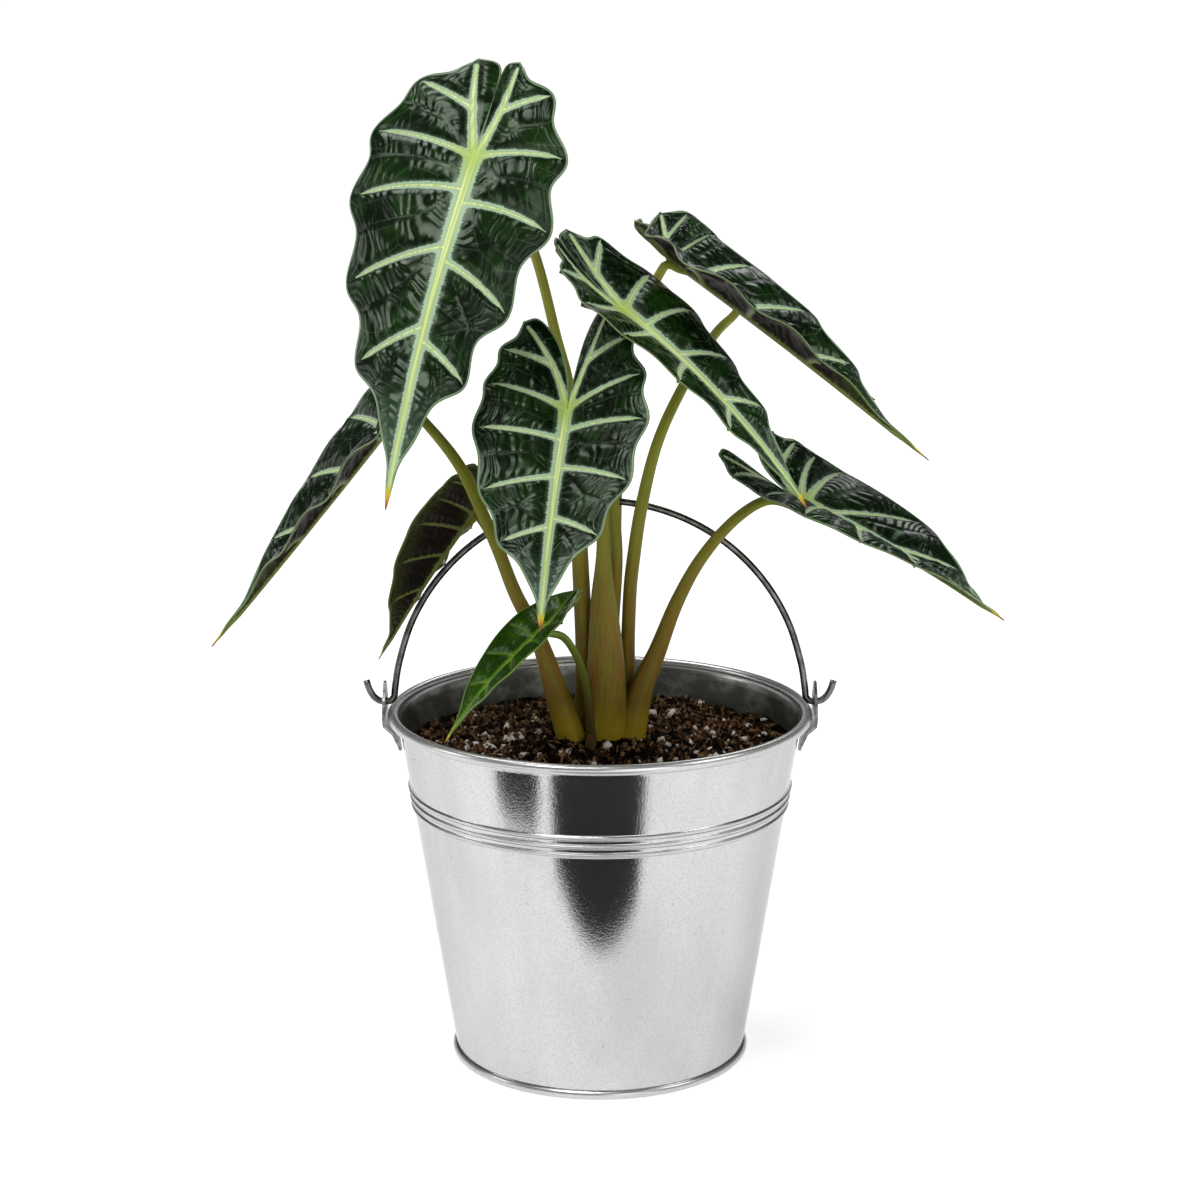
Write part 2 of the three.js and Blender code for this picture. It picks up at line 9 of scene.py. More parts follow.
import bpy
import numpy as np
from bpy.props import FloatProperty, FloatVectorProperty, IntProperty, PointerProperty
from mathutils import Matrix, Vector


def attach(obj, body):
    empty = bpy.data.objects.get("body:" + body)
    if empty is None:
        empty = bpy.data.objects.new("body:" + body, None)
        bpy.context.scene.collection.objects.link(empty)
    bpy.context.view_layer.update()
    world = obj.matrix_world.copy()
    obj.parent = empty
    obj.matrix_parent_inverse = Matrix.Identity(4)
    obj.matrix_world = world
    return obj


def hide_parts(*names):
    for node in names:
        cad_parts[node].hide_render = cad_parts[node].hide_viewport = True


bl_info = {
    "name": "Potted Alocasia",
    "version": (1, 0, 0),
    "blender": (4, 5, 0),
    "location": "View3D > Sidebar > Alocasia",
    "description": "Leaves, petioles, potting mix and galvanised bucket of a potted alocasia polly",
    "category": "Add Mesh",
}

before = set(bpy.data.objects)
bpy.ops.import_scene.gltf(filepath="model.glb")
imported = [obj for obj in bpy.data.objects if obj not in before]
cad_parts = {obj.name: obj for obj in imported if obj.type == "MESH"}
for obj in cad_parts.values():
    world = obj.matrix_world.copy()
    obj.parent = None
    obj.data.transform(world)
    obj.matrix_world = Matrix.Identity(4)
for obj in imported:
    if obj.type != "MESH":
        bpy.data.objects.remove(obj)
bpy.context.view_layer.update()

POT = "planted_bucket"
MM = 0.001
FULL_TURN = 2 * math.pi

# Half blade as fractions of the length from junction to tip. Side veins are
# numbered from the back lobe's tip (0) to the leaf's tip (7).
VEIN_ROOTS = [-1, -0.5, 0, 0.1, 0.27, 0.5, 0.74, 1]
VEIN_ENDS = [[-0.33, 0.1], [-0.23, 0.215], [-0.06, 0.285], [0.14, 0.3],
             [0.39, 0.25], [0.62, 0.165], [0.82, 0.07], [1, 0]]
NOTCH_EDGE = [[-0.33, 0.1], [-0.33, 0.045], [-0.25, 0.012], [-0.14, 0.002], [-0.04, 0]]
LOBE_LENGTH = 0.33
LAST_VEIN = 7
JUNCTION_VEIN = 2
DRAWN_VEINS = range(1, 6)
SCALLOP_DEPTH = 0.036
VEIN_BOW = 0.04
CUP_WIDTH = 0.3
LOBE_GAP = 0.003
TRAILING_VEINS = 0.04
MIDRIB_REACH = 0.985
LOBE_VEIN_REACH = 0.93
VEIN_REACH = 0.94

# Heights and depths on a blade in millimetres
EDGE_WAVE = 0.8
VEIN_GROOVE = 0.25
SEAM_GROOVE = 0.22
RIB_DEPTH = 0.9
LIP = 0.22

# How many rows and columns of points a half blade of 100 mm gets
LOBE_ROWS = 14
BLADE_ROWS = 128
BLADE_COLUMNS = 42
LOBE_COLUMNS = 9
SMALLEST_STEP = 0.0022

# Stands in for a bend of exactly 0, which can't be divided by
STRAIGHT = 1e-6


class Half(NamedTuple):
    """Half a blade: fold is its rise in degrees from lobe to tip, cup how far it curls."""
    width: float
    fold: list
    cup: float
    ripple: float = 0
    roots: list = None
    ends: list = VEIN_ENDS


class Blade(NamedTuple):
    """Where a blade is held and how it is turned and bent, with its angles in degrees.

    lead is the half, left (1) or right (-1), whose side veins leave the midrib nearer the
    junction. A half's own ripple goes before the blade's.
    """
    at: list
    heading: float
    pitch: float
    roll: float
    length: float
    lobe: float
    spread: float
    droop: float
    lobe_droop: float
    side_bend: float
    lead: int
    left: Half
    right: Half
    ripple: float = 1

    def half(self, side):
        return self.left if side > 0 else self.right


# Each blade by name, with its numbers in the order of Blade's fields
LEAVES = {
    "upper_left": Blade(
        [-36.4, -14, 278.5], -116, 52, -9, 110, 0.85, -6, 12, -4, 4, -1,
        Half(0.84, [28, 0, -26, 10], 37), Half(1.12, [15, 9, -3, -4], 27)),
    "centre": Blade(
        [-9.6, -26, 206.4], -98, 36, 10, 86, 1.15, 13, -3, -23, 5, 1,
        Half(1.07, [37, 21, 9, 20], 10), Half(1.02, [32, 29, 12, 26], 7), 0.55),
    "middle_right": Blade(
        [7.3, -14, 234], -32, 30, 33, 80, 1.1, -7, 27, -34, -6, 1,
        Half(0.9, [-2, 0, -10, 23], 35, 1.5), Half(0.91, [38, 28, 33, 26], -32), 0.8),
    "upper_right": Blade(
        [21.5, 6, 247], -31, 30, -29, 98, 0.4, 5, 2, 28, 12, 1,
        Half(1, [65, 40, 43, 27], 6), Half(0.8, [20, 8, 17, 19], 27), 1.7),
    "lower_right": Blade(
        [61, -4, 175.4], -32, 18, -13, 75, 1.16, 11, 8, -21, -9, -1,
        Half(1.17, [46, 35, 28, 20], 13, 1.2, [-1, -0.5, 0, 0.02, 0.12, 0.42, 0.74, 1],
             [[-0.33, 0.1], [-0.26, 0.195], [-0.17, 0.255], [-0.02, 0.3],
              [0.43, 0.25], [0.73, 0.12], [0.88, 0.045], [1, 0]]),
        Half(0.89, [-5, 9, 11, 25], 30, 0.15), 0.7),
    "far_left": Blade(
        [-59.8, 16, 201], 199, 50, 13, 94, 1, 0, -2, 10, 0, -1,
        Half(0.94, [25, 21, 21, 36], 24), Half(0.96, [30, 32, 32, 30], 19), 1.7),
    "lower_left": Blade(
        [-39.6, 20, 166.5], 169, 54, 4, 59, 0.92, 11, 5, -29, -11, 1,
        Half(1.24, [30, 30, 27, 10], -3), Half(0.82, [37, 12, 10, 17], 17)),
    "young_front": Blade(
        [-16.2, -30, 142.2], -157, 35, 2, 45, 1.02, 0, 20, -8, -3, -1,
        Half(1.04, [37, 23, 17, 12], 18), Half(0.97, [8, 25, 20, 7], 13), 0.15),
    "hidden_back": Blade(
        [44.9, 44, 228.8], -12, 33, -18, 51, 0.84, 23, 4, -6, 0, 1,
        Half(0.85, [14, 15, 15, 12], 12), Half(0.85, [14, 15, 14, 12], 10)),
}
YOUNG = "young_front"

# Petioles from the rootstock to just under the blade: x, y, z and radius
PETIOLES = {
    "upper_left": [[-5.8, 0.5, 100.8, 3.6], [-5, -1.5, 115.5, 2.8], [-5, -3.5, 132, 2.7],
                   [-6, -5, 157, 2.6], [-7, -5, 181.5, 2.1], [-9, -3, 208, 1.7],
                   [-13, -2, 224.5, 1.6], [-19.5, -4, 250, 1.5], [-28, -7, 267, 1.4]],
    "centre": [[1.8, -5, 100.8, 6.5], [1.6, -6.5, 114, 6.3], [1.5, -8, 130, 5.4],
               [1, -9, 145.5, 4], [1, -10.5, 161.5, 2.2], [0.5, -11.5, 177, 2],
               [-2, -14, 191.5, 1.8], [-6, -19, 200.5, 1.7]],
    "middle_right": [[3.9, 5.2, 100.8, 2.6], [3.5, 1, 127.5, 2], [5, -4.5, 157, 1.9],
                     [4, -5.5, 175.5, 1.8], [3.5, -6, 200, 1.7], [4.5, -7, 221, 1.6],
                     [5.8, -9.5, 228, 1.5]],
    "upper_right": [[1.5, 11.2, 100.8, 2.4], [3.5, 11.5, 128, 2.2], [4.5, 12, 153.5, 2],
                    [5, 12.5, 175, 1.9], [6.5, 11.5, 203, 1.7], [10, 10, 228, 1.6],
                    [17, 8.5, 240.5, 1.5]],
    "lower_right": [[9, -4.5, 100.8, 4.8], [12.5, -4, 116.5, 3.7], [17.5, -4, 128.8, 2.8],
                    [23.5, -4.5, 144.5, 2.2], [31, -4.5, 158.2, 1.9], [41, -2, 169.2, 1.7],
                    [51, 0.5, 174.5, 1.6]],
    "far_left": [[-8.5, -6, 100.8, 4.7], [-13.5, -7, 117, 3.7], [-18.5, -7.5, 133, 2.6],
                 [-25.5, -8, 147.5, 2.2], [-30.5, -7, 160.5, 2], [-36.5, -4, 174, 1.9],
                 [-42.5, 0, 185.5, 1.8], [-51, 7, 195, 1.6]],
    "lower_left": [[-7.5, 9.8, 100.8, 2.2], [-13.5, 11, 112.5, 1.9], [-18.5, 12.5, 127, 1.6],
                   [-25.5, 14, 141.5, 1.4], [-31.5, 15.5, 155, 1.3], [-35, 16.5, 162, 1.2]],
    "young_front": [[-2, -9.5, 100.8, 1.6], [-3.5, -11, 115.5, 1.4], [-5.5, -14, 125.5, 1.3],
                    [-8, -18, 132.5, 1.2], [-11, -22, 137.5, 1.2]],
    "hidden_back": [[10, 6, 100.8, 2.8], [8.5, 2, 122.5, 2.2], [8.9, -1.3, 144, 2.1],
                    [10, -4.5, 157.2, 2.1], [12.5, -6, 174.4, 2], [17, -4, 192.4, 1.8],
                    [24, 3, 207, 1.7], [34, 16, 221.5, 1.5], [41, 32, 226, 1.4]],
}
STUB = [[-2.6, -13.4, 97, 2.1], [-2.9, -13.9, 103, 1.6], [-3.3, -14.4, 105, 0.6]]
STUB_SEED = 40
LAP_TWIST = 0.012

# Petiole under its blade: share of the blade's length past the junction, how many
# radii and millimetres its axis is below the midrib, and what is left of its radius
RUN_ON = [(0, 1, 1.0, 0.92), (0.04, 0.6, 1.0, 0.6), (0.08, 0.2, 0.8, 0.2)]

# Bucket and potting mix, in millimetres
BUCKET_HEIGHT = 110
RIM_RADIUS = 65
RIM_ROLL = 1.6
WALL_AT_FLOOR = 44.6
WALL_TAPER = 0.16
SHEET_THICKNESS = 0.8 * 0.55
WALL_FOOT = 1.3
BEADS = [80.8, 83.5, 86.2]
BEAD_DEPTH = 0.75
BEAD_WIDTH = 0.62
FOOT_OUTER = 46.2
FOOT_HEIGHT = 2.8
BASE_THICKNESS = 0.9
BUCKET_SIDES = 220
SOIL_SIDES = 160
SOIL_GAP = 0.6
SOIL_LEVEL = 98.6
SOIL_BOTTOM = 1.4

# Bail: the hook in one ear as distance out and height over the pivot, and the bow above
PIVOT_HEIGHT = 111.8
HOOK = [[71.6, 6.4], [70.8, 3.9], [69.5, 1.6], [67.7, 0.2], [65.9, 0], [64.1, 0.1], [63.1, 1.3],
        [62.75, 4.5]]
BOW_REACH = 62.7
BOW_RISE = 61.5
BAIL_LEAN = 8
WIRE_RADIUS = 1.05

# Camera that the photograph was taken with: lens and sensor in millimetres, place in metres
LENS = 88.5
SENSOR = 36
CAMERA_AT = (0, -0.8737, 0.3487)
CAMERA_TILT = 76.79

# Floor and lights, in metres: name, azimuth from the camera, elevation, size and share
FLOOR_RADIUS = 14
LIGHT_AIM = (0, 0, 0.17)
LIGHT_DISTANCE = 1.2
LIGHTS = [
    ("front_left", -32, 62, 0.55, 1.0), ("right", 72, 40, 0.5, 0.6),
    ("back_left", -140, 62, 0.5, 0.8), ("back_right", 165, 36, 0.35, 0.5),
    ("left", -88, 22, 0.4, 0.5), ("front_fill", 22, 14, 0.6, 0.32)]

# White walls low down, dimmer overhead
SKY_STOPS = [(0.0, (1.0, 1.0, 1.0)), (0.12, (0.6, 0.6, 0.61)), (0.3, (0.06, 0.06, 0.065)),
             (1.0, (0.025, 0.025, 0.03))]

# Outlines of the dark card on the floor, in millimetres
CARD_HEIGHT = 0.5
CARD_TONGUE = [(-94, -196), (-86, -180), (-77, -165), (-64, -145), (-45, -136), (-34, -128),
               (-17, -120), (0, -116), (16, -118), (33, -125), (48, -132), (58, -147),
               (70, -168), (79, -183), (90, -197), (98, -218), (60, -300), (-60, -300),
               (-106, -218)]
CARD_STRIP = [(-205, -140), (-187, -122), (-172, -114), (-152, -119), (-127, -135),
              (-104, -149), (-107, -174), (-124, -215), (-180, -215)]

# Looks of a grown blade, then of the youngest
MID_GREEN = (0.006, 0.028, 0.002), (0.030, 0.090, 0.002)
CORE_BRIGHT = (0.66, 0.75, 0.38), (0.22, 0.38, 0.03)
CORE_EDGE = (0.30, 0.38, 0.06), (0.16, 0.30, 0.03)
BORDER = (0.21, 0.33, 0.20), (0.16, 0.30, 0.06)
UNDER_SHADE = (0.009, 0.008, 0.003), (0.05, 0.09, 0.025)
# Share of a painted sheen towards the tip: a grey green that stands in for the light the tip's curve
# reflects
TIP_PAINTED_SHEEN = 0.6, 0.05
PILLOW_HEIGHT = 0.25, 0.1
LUMP_HEIGHT = 0.4, 0.25
FACE_GLOSS = 0.36, 0.22

# Colours that only the youngest blade has, and a blade's tip from green to brown
YOUNG_PALE = (0.085, 0.19, 0.012)
YOUNG_LIME = (0.15, 0.30, 0.015)
YOUNG_UNDER = (0.05, 0.10, 0.02)
TIP_STOPS = [(0.0, (0.38, 0.46, 0.06)), (0.45, (0.55, 0.44, 0.04)), (0.75, (0.50, 0.26, 0.02)),
             (1.0, (0.16, 0.06, 0.02))]

# Tones of the loose grains and of the withered sheath, from dark to light
BARK_STOPS = [(0.0, (0.0008, 0.0004, 0.0002)), (0.5, (0.004, 0.0018, 0.0008)),
              (0.70, (0.045, 0.019, 0.006)), (0.85, (0.22, 0.115, 0.048)),
              (1.0, (0.60, 0.42, 0.26))]
COIR_STOPS = [(0.0, (0.03, 0.014, 0.006)), (0.6, (0.12, 0.06, 0.026)), (1.0, (0.36, 0.22, 0.11))]
PERLITE_STOPS = [(0.0, (0.30, 0.22, 0.16)), (0.35, (0.62, 0.54, 0.46)), (1.0, (0.90, 0.87, 0.82))]
WITHERED_STOPS = [(0.0, (0.06, 0.03, 0.01)), (0.5, (0.16, 0.11, 0.02)), (1.0, (0.30, 0.20, 0.06))]


def length_setting(name, description, default):
    return FloatProperty(
        name=name, description=description, default=default, min=1e-5, unit="LENGTH")


def colour_setting(name, description, default):
    return FloatVectorProperty(
        name=name, description=description, default=default, subtype="COLOR", min=0, max=1)


def count_setting(name, description, default):
    return IntProperty(name=name, description=description, default=default, min=0)


class LeafSettings(bpy.types.PropertyGroup):
    """Sizes and colours of the blades"""
    thickness: length_setting("Blade thickness", "Thickness of the blade between its veins", 0.0004)
    puff: length_setting("Quilting", "How far the blade stands up between its veins", 0.0008)
    ridge: length_setting("Ridge height", "Height of the small ridges between the veins", 0.00034)
    ridge_spacing: length_setting(
        "Ridge spacing", "Distance from one small ridge to the next", 0.0034)
    rib_width: length_setting(
        "Rib width", "Width of the pale band on the midrib at the junction", 0.0052)
    vein_width: length_setting("Vein width", "Width of the pale band on a side vein", 0.0025)
    green: colour_setting("Upper face", "Dark green of the upper face", (0.0009, 0.0050, 0.0006))
    pale: colour_setting(
        "Vein band", "Silvery green of the bands along the veins", (0.34, 0.48, 0.32))
    lime: colour_setting(
        "Vein core", "Yellow green of the veins' centre lines", (0.44, 0.56, 0.17))
    under: colour_setting("Underside", "Purple brown of the underside", (0.012, 0.005, 0.005))
    fresh: colour_setting("Young leaf", "Fresh green of the youngest blade", (0.010, 0.040, 0.0008))


class StalkSettings(bpy.types.PropertyGroup):
    """Colours of the petioles"""
    olive: colour_setting(
        "Stalk", "Olive green of a petiole under its blade", (0.165, 0.20, 0.011))
    maroon: colour_setting("Sheath", "Brown red of the sheaths", (0.215, 0.106, 0.013))
    # The foot's real green, made far lighter as painted light on the shaded stem base
    foot: colour_setting("Foot", "Green at the very foot of a sheath", (0.47, 0.345, 0.010))


class BucketSettings(bpy.types.PropertyGroup):
    """Finish of the bucket and its bail"""
    zinc: colour_setting("Zinc", "Colour of the galvanised sheet", (0.61, 0.61, 0.602))
    dull: colour_setting("Inside", "Colour of the weathered inside", (0.12, 0.125, 0.108))
    grain: length_setting("Grain size", "Size of the zinc coat's grain", 0.0006)
    wire: colour_setting("Wire", "Colour of the bail's wire", (0.09, 0.09, 0.083))


class SoilSettings(bpy.types.PropertyGroup):
    """What the potting mix is made of"""
    crumbs: count_setting("Crumbs", "Bark and coir crumbs on the surface", 5200)
    perlite: count_setting("Perlite", "White perlite grains on the surface", 240)
    fibres: count_setting("Fibres", "Coir fibres on the surface", 900)
    peat: colour_setting("Mix", "Colour of the mix between the crumbs", (0.004, 0.002, 0.001))


class StageSettings(bpy.types.PropertyGroup):
    """Lights and floor"""
    key: FloatProperty(name="Lights", description="Brightness of the soft lights", default=7, min=0)
    sky: FloatProperty(name="Sky", description="Strength of the surroundings", default=1, min=0)
    floor: colour_setting("Floor", "Colour of the floor", (0.86, 0.86, 0.86))


SETTINGS = {
    "alocasia_leaf": LeafSettings,
    "alocasia_stalk": StalkSettings,
    "alocasia_bucket": BucketSettings,
    "alocasia_soil": SoilSettings,
    "alocasia_stage": StageSettings,
}


class Wire:
    """A value in a node tree; sums on it add Math nodes."""

    def __init__(self, tree, socket):
        self.tree = tree
        self.socket = socket

    def maths(self, operation, *others):
        return self.tree.add("ShaderNodeMath", {"operation": operation}, self, *others)

    def __add__(self, other):
        return self.maths("ADD", other)

    def __sub__(self, other):
        return self.maths("SUBTRACT", other)

    def __mul__(self, other):
        return self.maths("MULTIPLY", other)

    def __rsub__(self, other):
        return self.tree.add("ShaderNodeMath", {"operation": "SUBTRACT"}, other, self)

    __radd__ = __add__
    __rmul__ = __mul__


class NodeTree:
    """A node tree under construction."""

    def __init__(self, tree):
        self.nodes = tree.nodes
        self.links = tree.links

    def add(self, kind, settings=None, *values, output=0, **named):
        """Adds a node; values fill its sockets in order, named ones the sockets of that name."""
        node = self.nodes.new(kind)
        for key, value in (settings or {}).items():
            if key == "stops":
                self.set_stops(node.color_ramp, value)
            else:
                setattr(node, key, value)
        for socket, value in zip(node.inputs, values):
            self.join(socket, value)
        for key, value in named.items():
            self.join(self.socket(node, key), value)
        return Wire(self, node.outputs[output])

    @staticmethod
    def set_stops(ramp, stops):
        while len(ramp.elements) < len(stops):
            ramp.elements.new(0.5)
        for element, (place, colour) in zip(ramp.elements, stops):
            element.position = place
            element.color = (*colour, 1)

    @staticmethod
    def socket(node, key):
        """An enabled input by its name in lower case with underscores."""
        for socket in node.inputs:
            if socket.enabled and socket.name.lower().replace(" ", "_") == key:
                return socket
        raise KeyError(f"{node.bl_idname} has no input {key}")

    def join(self, socket, value):
        if isinstance(value, Wire):
            self.links.new(value.socket, socket)
        elif socket.type == "RGBA" and len(value) == 3:
            socket.default_value = (*value, 1)
        else:
            socket.default_value = value

    def outputs(self, wire):
        """Every output of the node that a wire comes from."""
        return [Wire(self, socket) for socket in wire.socket.node.outputs]

    def vector_maths(self, operation, *values, **named):
        return self.add("ShaderNodeVectorMath", {"operation": operation}, *values, **named)

    def noise(self, vector, scale, detail=2.0, roughness=0.5, distortion=0.0, output=0):
        return self.add(
            "ShaderNodeTexNoise", None, vector=vector, scale=scale, detail=detail,
            roughness=roughness, distortion=distortion, output=output)


class Finish(NodeTree):
    """A material, or the world's background, under construction."""

    def __init__(self, name, kind="materials", shader="Principled BSDF"):
        self.block = getattr(bpy.data, kind).new(name)
        self.block.use_nodes = True
        super().__init__(self.block.node_tree)
        self.shader = self.nodes[shader]

    def smooth(self, value, low, high):
        """0 below low, 1 above high, smooth between; low may be the larger."""
        return self.add(
            "ShaderNodeMapRange", {"interpolation_type": "SMOOTHSTEP"},
            value=value, from_min=low, from_max=high)

    def fade(self, value, low, high):
        """1 below low, 0 above high, smooth between."""
        return 1 - self.smooth(value, low, high)

    def mix(self, share, first, second):
        return self.add(
            "ShaderNodeMix", {"data_type": "RGBA"}, factor=share, a=first, b=second, output=2)

    def layers(self, base, *layers):
        """Colours laid over a base one after another, each by its share."""
        for share, colour in layers:
            base = self.mix(share, base, colour)
        return base

    def ramp(self, stops, value):
        return self.add("ShaderNodeValToRGB", {"stops": stops}, value)

    def parts(self, vector):
        return self.outputs(self.add("ShaderNodeSeparateXYZ", None, vector))

    def vector(self, x, y, z):
        return self.add("ShaderNodeCombineXYZ", None, x, y, z)

    def attribute(self, name):
        """The three numbers of a mesh attribute."""
        return self.parts(self.add("ShaderNodeAttribute", {"attribute_name": name}, output=1))

    def place(self, output=3):
        """Position on the piece in metres, or another of the node's outputs."""
        return self.add("ShaderNodeTexCoord", output=output)

    def squeezed(self, vector, share):
        """A vector whose height counts by a share."""
        return self.vector_maths("MULTIPLY", vector, (1, 1, share))

    def bump(self, height, distance):
        return self.add("ShaderNodeBump", None, height=height, distance=distance, strength=1.0)

    def surface(self, **inputs):
        """Joins values to the shader; names are its sockets' in lower case."""
        for key, value in inputs.items():
            self.join(self.socket(self.shader, key), value)
        return self.block


def along(points, u):
    """Points on a smooth curve through a list of points, u from 0 to the last index."""
    points = np.asarray(points, float)
    last = len(points) - 1
    u = np.clip(np.asarray(u, float), 0, last)
    i = np.minimum(u.astype(int), last - 1)
    f = (u - i)[..., None]
    wide = np.vstack([2 * points[0] - points[1], points, 2 * points[-1] - points[-2]])
    a, b, c, d = (wide[i + k] for k in range(4))
    return 0.5 * (2 * b + (c - a) * f + (2 * a - 5 * b + 4 * c - d) * f ** 2
                  + (3 * b - a - 3 * c + d) * f ** 3)


def wander(x, y, seed, waves=6):
    """Smooth random values of about -1 to 1, with wavelengths of 3 to 9 units."""
    rng = np.random.default_rng(seed)
    total = 0
    for _ in range(waves):
        turn, phase = rng.uniform(0, FULL_TURN, 2)
        step = FULL_TURN / rng.uniform(3, 9)
        total = total + np.sin(step * (x * math.cos(turn) + y * math.sin(turn)) + phase)
    return total / math.sqrt(waves)


def ease(value, low, high):
    """0 below low, 1 above high, smooth between."""
    f = np.clip((value - low) / (high - low), 0, 1)
    return f * f * (3 - 2 * f)


def joined(*grids):
    """Points, values and quads of grids, joined where they meet; a triangle repeats a corner.

    Each grid is its points, the values on them and whether its faces are turned over.
    """
    quads = []
    count = 0
    for points, _, flip in grids:
        rows, columns = points.shape[:2]
        index = count + np.arange(rows * columns).reshape(rows, columns)
        corners = [index[:-1, :-1], index[1:, :-1], index[1:, 1:], index[:-1, 1:]]
        if flip:
            corners.reverse()
        quads.append(np.stack([c.ravel() for c in corners], 1))
        count += rows * columns
    points = np.vstack([grid[0].reshape(-1, 3) for grid in grids])
    values = np.vstack([grid[1].reshape(grid[0].size // 3, -1) for grid in grids])
    _, first, inverse = np.unique(
        np.round(points, 4), axis=0, return_index=True, return_inverse=True)
    quads = inverse.reshape(-1)[np.vstack(quads)]
    corners = (quads != np.roll(quads, -1, axis=1)).sum(1)
    return points[first], values[first], quads[corners >= 3]


def one_grid(points):
    """Points and quads of a single grid that may meet itself."""
    points, _, quads = joined((points, points, False))
    return points, quads


def vertex_normals(points, quads):
    a, b, c, d = (points[quads[:, k]] for k in range(4))
    normal = np.cross(c - a, d - b)
    total = np.zeros_like(points)
    for k in range(4):
        np.add.at(total, quads[:, k], normal)
    return total / np.maximum(np.linalg.norm(total, axis=1), 1e-12)[:, None]


def open_edges(quads):
    """Directed edges that only one face has."""
    ends = np.stack([quads, np.roll(quads, -1, axis=1)], 2).reshape(-1, 2)
    ends = ends[ends[:, 0] != ends[:, 1]]
    have = set(map(tuple, ends.tolist()))
    return np.array([e for e in have if (e[1], e[0]) not in have])


def in_scene(name, data):
    """An object for a mesh, a light or a camera."""
    made = bpy.data.objects.new(name, data)
    bpy.context.scene.collection.objects.link(made)
    return made


def new_piece(name, points, quads, materials, body=POT, replaces=(), attributes=None,
              face_materials=None):
    """A mesh piece in millimetres that rides on a body; a quad may repeat a corner."""
    faces = [[c for k, c in enumerate(q) if c != q[k - 1]] for q in quads.tolist()]
    mesh = bpy.data.meshes.new(name)
    mesh.from_pydata((np.asarray(points) * MM).tolist(), [], faces)
    for material in materials:
        mesh.materials.append(material)
    if face_materials is not None:
        mesh.polygons.foreach_set("material_index", face_materials)
    for key, values in (attributes or {}).items():
        layer = mesh.attributes.new(key, "FLOAT_VECTOR", "POINT")
        layer.data.foreach_set("vector", np.asarray(values, np.float32).ravel())
    mesh.polygons.foreach_set("use_smooth", [True] * len(mesh.polygons))
    mesh.update()
    return adopt(mesh, name, body, replaces)


def adopt(mesh, name, body=POT, replaces=()):
    piece = in_scene(name, mesh)
    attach(piece, body)
    if replaces:
        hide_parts(*replaces)
    return piece


def refinish(node_name, material):
    """Gives a CAD node that is shown as it is a material."""
    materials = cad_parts[node_name].data.materials
    materials.clear()
    materials.append(material)


def growth(leaf, power):
    """How large a detail is on a blade, against one of 100 mm."""
    return (leaf.length / 100) ** power


def half_veins(leaf, side):
    """Where a half's side veins leave the midrib, and where they end."""
    half = leaf.half(side)
    roots = np.array(half.roots or VEIN_ROOTS, float)
    if leaf.lead * side < 0 and not half.roots:
        roots[JUNCTION_VEIN + 1:LAST_VEIN] += TRAILING_VEINS
    return roots, np.array(half.ends, float)


def half_ripple(leaf, side):
    return leaf.half(side).ripple or leaf.ripple


def lobe_ripple(ripple, v):
    """A leaf's ripple, held back on its lobes where it is more than usual."""
    usual = 0.8
    return min(ripple, usual) + max(ripple - usual, 0) * ease(v, 1, 2.6)


def calm_tip(v):
    """1 along a half's edge, falling to 0 over the last two side veins."""
    return np.minimum((LAST_VEIN - v) / 2, 1)


def flat_blade(v, t, veins, ripple=1.0):
    """Flat half blade of unit length at side vein v, from the spine (t 0) to the edge (1)."""
    roots, ends = veins
    v, t = np.broadcast_arrays(np.asarray(v, float), np.asarray(t, float))
    root = np.interp(v, range(LAST_VEIN + 1), roots)
    start = np.where(root[..., None] < 0, -root[..., None] * ends[0],
                     np.stack([root, 0 * root], -1))
    end = along(ends, v)
    step = along(ends, np.minimum(v + 0.01, LAST_VEIN)) - along(ends, np.maximum(v - 0.01, 0))
    step /= np.linalg.norm(step, axis=-1, keepdims=True)
    dent = lobe_ripple(ripple, v) * SCALLOP_DEPTH * 0.5 * (1 - np.cos(FULL_TURN * v))
    dent = dent * calm_tip(v)
    edge = end + dent[..., None] * np.stack([step[..., 1], -step[..., 0]], -1)
    reach = edge - start
    bow = VEIN_BOW * 4 * t * (1 - t) * np.minimum(v / 2, 1) * np.minimum(LAST_VEIN - v, 1)
    x = start[..., 0] + reach[..., 0] * t - reach[..., 1] * bow
    drip_tip = 1 - 0.55 * ease(x, 0.62, 0.92)
    return np.stack([x, (start[..., 1] + reach[..., 1] * t) * drip_tip], -1)


